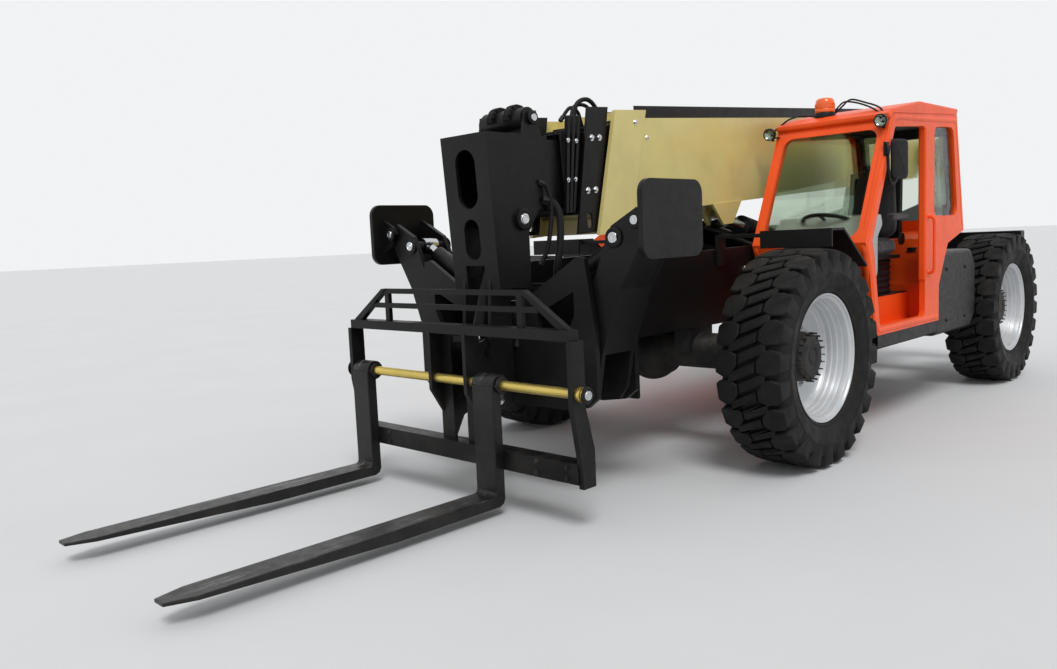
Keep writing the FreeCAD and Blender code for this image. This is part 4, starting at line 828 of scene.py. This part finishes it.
def addGuards():
    # The channel under the door, in place of its CAD node, and the round grab handle behind it.
    v = stepValues
    (x0, x1), (y0, y1), (z0, floor, z1), wall = v["x"], v["y"], v["z"], v["wall"]
    step = Shape()
    block(step, design(x0, y0, z0), design(x1, y1, floor))
    for y in (y1 - wall, y0):
        block(step, design(x0, y, z0), design(x1, y + wall, z1))
    for x in (x0, x1 - wall):
        block(step, design(x, y0, z0), design(x + wall, y1, z1))
    for k in range(v["bars"]):
        x = v["firstBar"] + k * v["barPitch"]
        low = design(x, y0 + 0.015, floor - 0.003)
        block(step, low, design(x + v["barWidth"], y1 - 0.015, floor + 0.006))
    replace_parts(step.finish("stepChannel", "black_paint", bevel=0.002, smooth=False), "side_step")
    h = handleValues
    handle = Shape()
    sweep(handle, curvePath([design(h["x"], y, z) for y, z in h["line"]], 8), h["radius"], 14)
    for z in h["ends"]:
        disc(handle, design(h["x"], 1.2205, z), left, *h["foot"], 24, 0.001)
    handle.finish("grabHandle", "orange_paint")


# Profiles are in shares of the radius and the depth
lampValues = {
    "x": -0.950, "z": 2.082, "y": (0.400, 1.190), "radius": 0.043, "depth": 0.058, "aim": (1, 0, -0.15),
    "housing": [(0, 0), (0.42, 0), (0.73, 0.12), (0.96, 0.46), (1, 0.79), (1, 0.97), (0.97, 1), (0.885, 1),
                (0.85, 0.86), (0.77, 0.57), (0, 0.54)],
    "bowl": [(0, 0.57), (0.35, 0.60), (0.65, 0.71), (0.84, 0.89), (0.84, 0.86), (0.65, 0.67), (0, 0.55)],
    "lens": [(0, 0.975), (0.4, 0.965), (0.83, 0.91), (0.83, 0.94), (0.4, 1), (0, 1.017)],
    "ribs": [(0.17, 0.77), (0.26, 0.805), (0.35, 0.84), (0.44, 0.875)],
}


def addLamps():
    # Work lamps: a turned housing with a bright reflector bowl, a domed lens and cooling ribs, on a bracket.
    v = lampValues
    body, bowl, lens = Shape(), Shape(), Shape()
    aim = np.array(v["aim"]) / np.linalg.norm(v["aim"])
    r, d = v["radius"], v["depth"]
    for y, inside in zip(v["y"], (1, -1)):
        back = design(v["x"], y, v["z"])
        for shape, name in ((body, "housing"), (bowl, "bowl"), (lens, "lens")):
            revolve(shape, np.array(v[name]) * (r, d), back, aim)
            if shape is bowl:
                disc(bowl, back + aim * d * 0.61, aim, r * 0.17, d * 0.23, 20, 0.003)
        for along, wide in v["ribs"]:
            disc(body, back + aim * d * along, aim, r * wide, 0.002, 32)
        ends = sorted((y, y + inside * 0.038))
        block(body, back + [-0.020, ends[0] - 0.010 - y, -0.034], back + [0.012, ends[1] + 0.010 - y, -0.026])
        hexBolt(body, back + [-0.004, 0, -0.052], upward, 0.009, 0.014)
    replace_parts(body.finish("lampBodies", "lamp_body"), "work_lamps")
    bowl.finish("lampBowls", "rod_chrome")
    lens.finish("lampLenses", "clear_glass")


# The dome is in shares of the radius and in metres of height
beaconValues = {
    "x": -1.10, "y": 0.7205, "z": 2.172, "radius": 0.066, "ribs": 28, "ribFrom": 0.056, "ribHigh": 0.030,
    "rib": ((-0.002, -0.0022), (0.0022, 0.0022)),
    "dome": [(0, 0.027), (0.97, 0.027), (1, 0.031), (1, 0.046), (0.97, 0.050), (1, 0.054), (0.98, 0.088),
             (0.92, 0.110), (0.76, 0.122), (0.44, 0.127), (0, 0.128)],
    "wires": [
        [(-1.14, 0.76, 2.185), (-1.17, 0.79, 2.24), (-1.16, 0.84, 2.262), (-1.11, 0.95, 2.235),
         (-1.04, 1.08, 2.178), (-0.985, 1.17, 2.115), (-0.953, 1.19, 2.095)],
        [(-1.16, 0.76, 2.188), (-1.20, 0.80, 2.24), (-1.18, 0.87, 2.275), (-1.12, 1.00, 2.232),
         (-1.05, 1.12, 2.18), (-0.99, 1.18, 2.12), (-0.953, 1.195, 2.09)],
        [(-1.12, 0.66, 2.178), (-1.07, 0.57, 2.195), (-1.02, 0.49, 2.175), (-0.985, 0.43, 2.125),
         (-0.953, 0.40, 2.095)]],
}


def addBeacon():
    # A beacon: a turned dome with ribs round its skirt over a black foot, and wires to the lamps.
    v = beaconValues
    dome, foot, wires = Shape(), Shape(), Shape()
    centre, r = design(v["x"], v["y"], v["z"]), v["radius"]
    revolve(dome, np.array(v["dome"]) * (r, 1), centre, upward, 56)
    for radial, tangent in spokes(v["ribs"], forward, left):
        spot = centre + radial * r * 0.985 + upward * v["ribFrom"]
        slab(dome, rectangle(*v["rib"]), spot, radial, tangent, v["ribHigh"])
    skirt = [(0, -0.014), (r + 0.003, -0.014), (r + 0.004, -0.010), (r + 0.004, 0.018), (r, 0.025),
             (0, 0.025)]
    revolve(foot, skirt, centre, upward, 56)
    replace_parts(dome.finish("beaconDome", "amber_lens"), "beacon")
    foot.finish("beaconFoot", "black_plastic")
    for points in v["wires"]:
        sweep(wires, curvePath(designs(*points), 8), 0.006, 8)
    wires.finish("roofWires", "black_plastic")


mirrorValues = {
    "x": -1.06, "y": 1.252, "z": (1.700, 1.960), "half": 0.085, "turn": math.radians(14), "round": 0.040,
    "loops": [(-0.010, 0.003), (-0.008, 0.0), (0.001, 0.0), (0.006, 0.005), (0.0095, 0.016), (0.011, 0.034)],
    "arm": [(-0.9075, 1.234, 1.885), (-0.911, 1.236, 1.80), (-0.922, 1.236, 1.715), (-0.955, 1.236, 1.672),
            (-1.005, 1.242, 1.680), (-1.040, 1.252, 1.730)],
    "armRadius": 0.0095,
}


def addMirror():
    # The head is its rounded outline at six depths, each inset by its own amount, with a glass let
    # into its inner face. The arm is a bent tube in a clamp on the post.
    m = mirrorValues
    bottom, top = m["z"]
    flat = roundCorners(rectangle((-m["half"], bottom), (m["half"], top)), m["round"], 7)
    along = np.array([math.cos(m["turn"]), -math.sin(m["turn"]), 0.0])
    square = np.array([math.sin(m["turn"]), math.cos(m["turn"]), 0.0])
    place = design(m["x"], m["y"], 0)
    head, glass = Shape(), Shape()
    loops = []
    for depth, inset in m["loops"]:
        ring = insetOutline(flat, inset)
        loops.append(place + ring[:, :1] * along + depth * square + ring[:, 1:] * upward)
    head.add(np.vstack(loops), loopFaces(len(loops), len(flat)))
    sweep(head, curvePath(designs(*m["arm"]), 8), m["armRadius"], 12)
    for z in (1.705, 1.90):
        disc(head, place + [-0.02, 0, z], upward, 0.011, 0.02, 20, 0.003)
    block(head, design(-0.9425, 1.2206, 1.845), design(-0.8725, 1.230, 1.935))
    for z in (1.862, 1.918):
        hexBolt(head, design(-0.885, 1.230, z), left, 0.007, 0.006)
    disc(head, design(-0.9075, 1.234, 1.858), upward, 0.015, 0.052, 24, 0.003)
    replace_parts(head.finish("mirrorHead", "black_plastic"), "mirror")
    slab(glass, insetOutline(flat, 0.010), place - square * 0.0085, along, upward, 0.0025)
    glass.finish("mirrorGlass", "rod_chrome")


interiorValues = {
    # outline in x and z, left edge, width to the right
    "linings": [([(-1.08, 2.066), (-1.08, 2.096), (-2.15, 2.158), (-2.15, 2.118)], 1.176, 0.705),
                ([(-1.30, 2.050), (-1.30, 2.075), (-1.95, 2.112), (-1.95, 2.090)], 0.62, 0.12),
                ([(-2.165, 2.11), (-2.235, 2.13), (-2.345, 1.37), (-2.285, 1.37)], 0.545, 0.0795),
                ([(-2.165, 2.11), (-2.235, 2.13), (-2.345, 1.37), (-2.285, 1.37)], 1.1745, 0.0745),
                ([(-2.150, 2.135), (-2.185, 2.150), (-2.200, 2.05), (-2.165, 2.05)], 1.174, 0.708)],
    "cowl": [(-0.695, 1.22), (-0.745, 1.345), (-0.955, 1.485), (-0.985, 1.41), (-0.905, 1.33), (-0.905, 1.10),
             (-0.80, 0.93), (-0.72, 1.10)],
    "mat": ((-1.82, 0.475, 0.9003), (-0.82, 1.00, 0.908)), "matRibs": 9,
    # foot of each lever, and how far its top leans forward
    "levers": [(-1.38, 0.505, 1.280, 0.10), (-1.28, 0.505, 1.280, 0.06), (-1.02, 0.60, 1.262, 0.05)],
    "boot": [(0, -0.005), (0.034, -0.005), (0.034, 0.004), (0.028, 0.010), (0.030, 0.016), (0.022, 0.024),
             (0.024, 0.030), (0.013, 0.042), (0, 0.042)],
    "knob": [(0, -0.028), (0.010, -0.028), (0.016, -0.010), (0.021, 0.010), (0.019, 0.024), (0.009, 0.031),
             (0, 0.032)],
    "pedals": (0.68, 0.86), "dials": (0.62, 0.74), "dashSlope": (0.2, 0.07),
    "dial": [(0, -0.02), (0.042, -0.02), (0.042, 0.012), (0.037, 0.014), (0.035, 0.008), (0, 0.008)],
}


def addInterior():
    # Dark linings, the grey cowl behind the windscreen, a ribbed mat, levers, pedals, dials and a screen.
    v = interiorValues
    lining, cowl, mat, controls, gauges = Shape(), Shape(), Shape(), Shape(), Shape()
    for outline, y, width in v["linings"]:
        crossPlate(lining, outline, y, width)
    crossPlate(cowl, roundCorners(v["cowl"], 0.02), 1.172, 0.70)
    cowl.finish("dashCowl", "grey_plastic", bevel=0.008)
    lining.finish("headLining", "black_plastic", bevel=0.006)
    block(mat, *designs(*v["mat"]))
    for k in range(v["matRibs"]):
        x = -1.30 + k * 0.05
        block(mat, design(x, 0.50, 0.907), design(x + 0.02, 0.98, 0.912))
    mat.finish("floorMat", "black_plastic", smooth=False)
    for x, y, z, lean in v["levers"]:
        foot = design(x, y, z)
        rise = np.array([lean, 0, 0.15])
        revolve(controls, v["boot"], foot, upward, 24)
        sweep(controls, [foot + (0, 0, 0.03), foot + (lean * 0.3, 0, 0.08), foot + rise], 0.006)
        revolve(controls, v["knob"], foot + rise, rise, 24)
    for y in v["pedals"]:
        pad = rectangle((-0.035, -0.045), (0.035, 0.045))
        slab(controls, pad, design(-0.93, y, 1.00), left, (0.55, 0, 0.83), 0.010)
        sweep(controls, designs((-0.93, y, 1.0), (-0.90, y, 0.96), (-0.87, y, 0.905)), 0.009, 8)
    controls.finish("controls", "black_plastic")
    run, rise = np.array(v["dashSlope"]) / math.hypot(*v["dashSlope"])
    along, square = np.array([run, 0, rise]), np.array([-rise, 0, run])
    for y in v["dials"]:
        revolve(gauges, v["dial"], design(-0.83, y, 1.325), square, 32)
    slab(gauges, rectangle((0, 0), (0.11, 0.20)), design(-0.945, 0.87, 1.284), along, left, -0.02)
    gauges.finish("gauges", "lamp_body", bevel=0.002)


addCabTubes()
addGuards()
addLamps()
addBeacon()
addMirror()
addInterior()
print("cab done")


# Seat: cushions swollen by a cloth simulation, over a base with a bellows

clothValues = {"voxel": 0.006, "pressure": 4.0, "stiffness": 12, "frames": 20, "cap": 0.016}
seatValues = {
    "x": -1.70, "y": 0.8025, "floor": 0.90, "margin": 0.02, "fill": 0.9,
    "seam": 0.010, "seamWidth": 0.007, "sideSeam": 0.68, "bellows": 13, "fold": 0.012, "foldHigh": 0.0215,
}


def readPoints(mesh):
    co = np.empty(len(mesh.vertices) * 3, np.float32)
    mesh.vertices.foreach_get("co", co)
    return co.reshape(-1, 3)


def evaluatedMesh(piece):
    return bpy.data.meshes.new_from_object(piece.evaluated_get(bpy.context.evaluated_depsgraph_get()))


def swell(piece):
    # The soft shape is remeshed evenly, blown up by an inner pressure and held to a small largest move.
    v = clothValues
    remesh = piece.modifiers.new("evenMesh", "REMESH")
    remesh.mode = "VOXEL"
    remesh.voxel_size = v["voxel"]
    mesh = evaluatedMesh(piece)
    piece.modifiers.clear()
    piece.data = mesh
    rest = readPoints(mesh)
    cloth = piece.modifiers.new("cloth", "CLOTH")
    cloth.settings.use_pressure = True
    cloth.settings.uniform_pressure_force = v["pressure"]
    cloth.settings.effector_weights.gravity = 0
    cloth.settings.tension_stiffness = v["stiffness"]
    cloth.settings.compression_stiffness = v["stiffness"]
    cloth.point_cache.frame_start = 1
    cloth.point_cache.frame_end = v["frames"]
    for step in range(1, v["frames"] + 1):
        bpy.context.scene.frame_set(step)
    shift = readPoints(evaluatedMesh(piece)) - rest
    piece.modifiers.clear()
    bpy.context.scene.frame_set(1)
    length = np.linalg.norm(shift, axis=1)[:, None]
    rest = rest + shift * np.minimum(1, v["cap"] / np.maximum(length, 1e-9))
    mesh.vertices.foreach_set("co", rest.ravel())
    mesh.update()
    mesh.shade_smooth()
    return mesh


def cushionShape(width, length, depth, taper=0.0, rows=40, power=5.0):
    # A superellipsoid: in each direction the cosine and sine are raised to 2 over the power, which
    # squares the form while its faces stay crowned; it narrows along its length by the taper.
    a = np.linspace(-math.pi / 2, math.pi / 2, rows)[:, None]
    b = np.linspace(0, 2 * math.pi, rows * 2, endpoint=False)[None, :]

    def raised(value, e):
        return np.sign(value) * np.abs(value) ** e

    e = 2.0 / power
    x = raised(np.cos(a), e * 1.25) * raised(np.cos(b), e) * length / 2
    y = raised(np.cos(a), e * 1.25) * raised(np.sin(b), e) * width / 2
    z = raised(np.sin(a), e * 1.25) * depth / 2 + 0 * b
    y = y * (1 - taper * (x / length + 0.5))
    return np.stack([x, y, z], -1).reshape(-1, 3), gridFaces(rows, rows * 2)


def addCushion(name, size, centre, pitch, channels, taper, bolster):
    # After the swelling, sewn channels are pressed in across the face where a bell curve of the place
    # along the cushion peaks, and the sides are raised as bolsters by the fourth power of the width.
    v = seatValues
    width, length, depth = size
    shape = Shape()
    shape.add(*cushionShape(width - v["margin"], length - v["margin"], depth - v["margin"], taper))
    piece = shape.finish(name, "seat_cover")
    mesh = swell(piece)
    co = readPoints(mesh)
    top = np.clip(co[:, 2] / (depth * 0.3), 0, 1)
    side = np.abs(co[:, 1]) / (width / 2)
    inside = np.clip((0.66 - side) / 0.06, 0, 1)
    groove = np.zeros(len(co))
    for place in channels:
        groove += np.exp(-((co[:, 0] - place * length) / v["seamWidth"]) ** 2) * inside
    within = np.clip((0.46 - np.abs(co[:, 0] / length)) / 0.05, 0, 1)
    groove += np.exp(-((side - v["sideSeam"]) / 0.03) ** 2) * within
    co[:, 2] += top * (bolster * side ** 4 - v["seam"] * np.clip(groove, 0, 1))
    c, s = math.cos(pitch), math.sin(pitch)
    turned = np.stack([co[:, 0] * c - co[:, 2] * s, co[:, 1], co[:, 0] * s + co[:, 2] * c], 1) + centre
    mesh.vertices.foreach_set("co", turned.astype(np.float32).ravel())
    mesh.update()
    piece.select_set(False)
    v["fill"]
    return piece


def addSeat():
    # The pan and back, a bellows between two plates, the back's shell, the hinges and two arm rests.
    v = seatValues
    foot = design(v["x"], v["y"], v["floor"])
    pan = addCushion("seatPan", (0.46, 0.46, 0.12), foot + [0.235, 0, 0.345], -0.02,
                     (-0.22, 0.02, 0.25), 0.06, 0.016)
    addCushion("seatBack", (0.44, 0.56, 0.11), foot + [0.012, 0, 0.665], math.pi / 2 + 0.155,
               (-0.25, -0.05, 0.15), 0.22, 0.02)
    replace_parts(pan, "operator_seat")
    base, rest = Shape(), Shape()
    square = roundCorners(rectangle((-0.165, -0.16), (0.165, 0.16)), 0.05, 5)
    loops = []
    for k in range(v["bellows"]):
        ring = insetOutline(square, -v["fold"] if k % 2 else 0.0)
        loops.append(foot + [0.225, 0, 0.004 + k * v["foldHigh"]] + np.pad(ring, ((0, 0), (0, 1))))
    base.add(np.vstack(loops), loopFaces(len(loops), len(square)))
    block(base, foot + [0.02, -0.21, 0.262], foot + [0.44, 0.21, 0.288])
    shell = [(-0.065, 0.40), (0.0, 0.41), (-0.045, 0.90), (-0.085, 0.885)]
    slab(base, shell, foot + [0, 0.19, 0], forward, upward, 0.38)
    for side in (-1, 1):
        disc(base, foot + [0.03, side * 0.215, 0.40], side * left, 0.045, 0.018, 28, 0.004)
    base.finish("seatBase", "black_plastic", bevel=0.002)
    points, faces = cushionShape(0.055, 0.30, 0.05, rows=16)
    for side in (-1, 1):
        rest.add(points + foot + [0.17, side * 0.255, 0.56], faces)
        arm = ((0.03, 0.235, 0.56), (0.0, 0.225, 0.55), (-0.02, 0.20, 0.54))
        sweep(rest, [foot + [x, side * y, z] for x, y, z in arm], 0.014)
    rest.finish("armRests", "seat_cover")


addSeat()
print("seat done")


# Engine bay, pod, axles and carriage

engineValues = {
    "x": (-2.43, -1.15), "top": 1.33, "cylinders": 4, "firstCylinder": 0.28, "cylinderPitch": 0.24,
    "fan": (-0.80, 1.125), "blades": 7, "blade": [(0.04, -0.035), (0.19, -0.055), (0.195, 0.05),
                                                  (0.04, 0.03)],
    "bladePitch": (0.55, 0.835), "lowPulley": (-0.74, 0.985), "pulleyRadii": (0.062, 0.075),
    "beltRadii": (0.057, 0.070), "beltThick": 0.006, "rockerScrews": 7, "fins": 30, "finPitch": 0.0214,
    "radiator": ((-2.755, -1.13, 0.905), (-2.665, -0.475, 1.385)),
    "shroud": [(0.205, 0.0), (0.222, 0.0), (0.222, 0.085), (0.215, 0.09), (0.205, 0.085)],
    "cleaner": (-1.11, -0.96, 1.235), "bands": (-1.05, -0.93),
    "band": [(0.1055, -0.008), (0.1085, -0.006), (0.1085, 0.006), (0.1055, 0.008)],
    "battery": ((-1.10, -0.74, 0.905), (-0.84, -0.50, 1.10)),
}


def addPulleys(bright, plastic, hub, low):
    # Two grooved wheels, and a belt that runs half round each and straight between them.
    v = engineValues
    for spot, r in zip((hub, low), v["pulleyRadii"]):
        groove = [(r, -0.016), (r, -0.010), (r * 0.86, 0), (r, 0.010), (r, 0.016), (0.012, 0.016),
                  (0.012, -0.016)]
        revolve(bright, crisp(groove, 0.001), spot, forward)
    line = (low - hub)[1:] / np.linalg.norm((low - hub)[1:])
    square = np.array([-line[1], line[0]])
    belt = []
    for spot, radius, turn in ((low, v["beltRadii"][1], -1), (hub, v["beltRadii"][0], 1)):
        for a in np.linspace(-math.pi / 2, math.pi / 2, 14) * turn:
            y, z = spot[1:] + radius * (square * math.sin(a) - line * turn * math.cos(a))
            belt.append((hub[0], y, z))
    sweep(plastic, belt, v["beltThick"], 8, True)


def addEngineDetail():
    # Round the plain block: a rocker cover, injector pipes, manifold, radiator with its fan and shroud,
    # a belt over two pulleys, an air cleaner with its pipe, a battery and a filter.
    v = engineValues
    iron, plastic, bright = Shape(), Shape(), Shape()
    (x0, x1), top = v["x"], v["top"]
    block(iron, design(x0 + 0.12, -0.86, top), design(x1 - 0.12, -0.64, top + 0.05))
    for k in range(v["rockerScrews"]):
        for y in (-0.84, -0.66):
            hexBolt(bright, design(x0 + 0.16 + k * 0.16, y, top + 0.05), upward, 0.009, 0.010)
    for k in range(v["cylinders"]):
        x = x0 + v["firstCylinder"] + k * v["cylinderPitch"]
        pipe = designs((x, -0.60, top - 0.02), (x, -0.595, top + 0.03), (x, -0.625, top + 0.068),
                       (x, -0.66, top + 0.05))
        sweep(bright, curvePath(pipe, 6), 0.0045, 8)
        port = designs((x, -1.05, top - 0.12), (x, -1.09, top - 0.12), (x + 0.02, -1.115, top - 0.09),
                       (x + 0.05, -1.12, top - 0.05))
        sweep(iron, curvePath(port, 5), 0.024, 12)
        for z in (1.02, 1.14):
            disc(iron, design(x, -1.055, z), -left, 0.028, 0.012, 24, 0.004)
    sweep(iron, designs((x0 + 0.25, -1.12, top - 0.05), (x1 - 0.15, -1.12, top - 0.05)), 0.032, 16)
    block(plastic, *designs(*v["radiator"]))
    for k in range(v["fins"]):
        y = -1.115 + k * v["finPitch"]
        block(iron, design(-2.666, y, 0.93), design(-2.660, y + 0.008, 1.36))
    hub, low = design(x0 - 0.06, *v["fan"]), design(x0 - 0.018, *v["lowPulley"])
    revolve(plastic, v["shroud"], design(-2.664, *v["fan"]), forward, 56)
    disc(iron, hub - 0.10 * forward, forward, 0.055, 0.14, 32, 0.008)
    lead, swing = v["bladePitch"]
    for radial, tangent in spokes(v["blades"], left, upward):
        slab(plastic, v["blade"], hub - 0.065 * forward, radial, lead * forward + swing * tangent, 0.004)
    addPulleys(bright, plastic, hub, low)
    x, y, z = v["cleaner"]
    disc(plastic, design(x, y, z), forward, 0.105, 0.255, 40, 0.012)
    for along in v["bands"]:
        revolve(bright, v["band"], design(along, y, z), forward)
    pipe = designs((-1.105, -0.96, 1.235), (-1.16, -0.95, 1.30), (-1.20, -0.90, 1.352), (-1.28, -0.86, 1.355))
    sweep(plastic, curvePath(pipe, 6), 0.034, 16)
    block(plastic, *designs(*v["battery"]))
    for y in (-0.69, -0.55):
        disc(bright, design(-0.97, y, 1.10), upward, 0.011, 0.018, 16, 0.003)
    disc(iron, design(-1.90, -1.105, 0.925), upward, 0.046, 0.15, 32, 0.008)
    iron.finish("engineIron", "dark_iron", bevel=0.002)
    plastic.finish("enginePlastic", "black_plastic", bevel=0.002)
    bright.finish("engineBright", "rod_chrome")


podValues = {
    "latches": (-2.42, -1.16), "face": -1.215, "screws": 7, "firstScrew": -2.70, "screwPitch": 0.305,
    "latch": [(0, 0), (0.028, 0), (0.028, 0.003), (0.024, 0.006), (0.013, 0.006), (0.012, 0.016), (0, 0.016)],
    "cap": [(0, 0), (0.062, 0), (0.062, 0.006), (0.050, 0.012), (0.050, 0.030), (0.046, 0.036), (0, 0.038)],
    "capAt": (-2.02, 0.98, 1.19), "grips": 12, "gripRing": 0.049,
}


def addPodDetail():
    # Turn latches on the hood's lower edge, screws along the pod and a filler cap on the tank.
    v = podValues
    latches, screws, cap = Shape(), Shape(), Shape()
    for x in v["latches"]:
        spot = design(x, v["face"], 0.948)
        revolve(latches, v["latch"], spot, -left, 32)
        block(latches, spot + [-0.030, -0.022, -0.006], spot + [0.030, -0.014, 0.006])
    latches.finish("hoodLatches", "black_plastic", "hood_cover", bevel=0.002)
    for k in range(v["screws"]):
        hexBolt(screws, design(v["firstScrew"] + k * v["screwPitch"], v["face"], 0.70), -left, 0.009, 0.006)
    for x in (-2.55, -2.15):
        for z in (0.66, 1.05):
            hexBolt(screws, design(x, 1.18, z), left, 0.010, 0.007)
    screws.finish("podScrews", "dark_iron")
    foot = design(*v["capAt"])
    revolve(cap, v["cap"], foot, upward)
    for radial, tangent in spokes(v["grips"], forward, left):
        spot = foot + 0.015 * upward + radial * v["gripRing"]
        slab(cap, rectangle((0, -0.004), (0.004, 0.004)), spot, radial, tangent, 0.018)
    cap.finish("fillerCap", "black_plastic")


tailValues = {
    "x": -4.51, "z": 1.17, "y": (-0.90, -0.76, 0.76, 0.90), "rings": 3, "ringPitch": 0.012,
    "rim": [(0, -0.002), (0.058, -0.002), (0.058, 0.010), (0.052, 0.018), (0.048, 0.018), (0.048, 0.008),
            (0, 0.008)],
    "lens": [(0, 0.008), (0.0475, 0.008), (0.047, 0.020), (0.040, 0.027), (0.024, 0.030), (0, 0.031)],
}


def addTailLamps():
    # Round lamps on the counterweight, each lens with three raised rings.
    v = tailValues
    rings, lenses = Shape(), Shape()
    for y in v["y"]:
        spot = design(v["x"], y, v["z"])
        revolve(rings, v["rim"], spot, -forward)
        revolve(lenses, v["lens"], spot, -forward)
        for k in range(v["rings"]):
            r = 0.012 + k * v["ringPitch"]
            ridge = [(r, 0.024), (r + 0.004, 0.024), (r + 0.004, 0.0305 - k * 0.001), (r, 0.0315 - k * 0.001)]
            revolve(lenses, ridge, spot, -forward)
    rings.finish("tailRings", "black_plastic")
    lenses.finish("tailLenses", "amber_lens")


driveValues = {
    "z": 0.61, "cover": [(0, 0), (0.165, 0), (0.165, 0.022), (0.150, 0.030), (0.095, 0.040), (0.070, 0.110),
                         (0.060, 0.120), (0.060, 0.145), (0, 0.145)],
    "coverFrom": 0.10, "screws": 12, "screwRing": 0.150, "jointFrom": 0.30, "cross": 0.034,
    "shaftRadius": 0.038, "shaftFrom": 0.345,
}


def addDriveline():
    # A bolted cover on each axle's inner face, and the shaft with its two universal joints between them.
    v = driveValues
    iron, bright = Shape(), Shape()
    for x, way in ((0.0, -1), (-wheelbase, 1)):
        spot, aim = design(x + way * v["coverFrom"], 0, v["z"]), way * forward
        revolve(iron, v["cover"], spot, aim, 48)
        for radial, tangent in spokes(v["screws"], left, upward, 0.5):
            hexBolt(bright, spot + radial * v["screwRing"] + aim * 0.024, aim, 0.009, 0.008)
        joint = design(x + way * v["jointFrom"], 0, v["z"])
        disc(iron, joint - aim * 0.055, aim, 0.052, 0.014, 32, 0.003)
        disc(iron, joint + aim * 0.041, aim, 0.046, 0.014, 32, 0.003)
        for side, foot in ((-1, -0.042), (1, 0.030)):
            low, high = [-0.045, side * 0.036 - 0.009, -0.020], [0.045, side * 0.036 + 0.009, 0.020]
            block(iron, joint + low, joint + high)
            disc(iron, joint + foot * upward, upward, 0.018, 0.012, 20, 0.003)
        for axis in (left, upward):
            sweep(iron, [joint - v["cross"] * axis, joint + v["cross"] * axis], 0.014, 16)
    shaft = designs((-v["shaftFrom"], 0, v["z"]), (v["shaftFrom"] - wheelbase, 0, v["z"]))
    sweep(iron, shaft, v["shaftRadius"], 28)
    iron.finish("driveShaft", "dark_iron")
    bright.finish("axleScrews", "rod_chrome")


carriageValues = {
    "shaft": (1.80, 0.68), "collars": (0.203, 0.377, -0.693), "barFace": 1.7997, "rows": (0.262, 0.318),
    "collar": [(0.0265, -0.009), (0.042, -0.009), (0.042, 0.009), (0.0265, 0.009)],
    "screws": (-0.80, -0.60, 0.60, 0.80),
}


def addCarriageDetail():
    # Stop collars with set screws beside the forks, and screws along the carriage's lower bar.
    v = carriageValues
    collars, screws = Shape(), Shape()
    x, z = v["shaft"]
    for y in v["collars"]:
        revolve(collars, crisp(v["collar"], 0.0015), design(x, y, z), left)
        hexBolt(collars, design(x + 0.042, y, z), forward, 0.006, 0.006)
    collars.finish("forkCollars", "dark_iron", "fork_carriage")
    for y in v["screws"]:
        for z in v["rows"]:
            hexBolt(screws, design(v["barFace"], y, z), forward, 0.010, 0.008)
    screws.finish("carriageScrews", "dark_iron", "fork_carriage")


addEngineDetail()
addPodDetail()
addTailLamps()
addDriveline()
addCarriageDetail()
print("bay, axle and carriage details done")
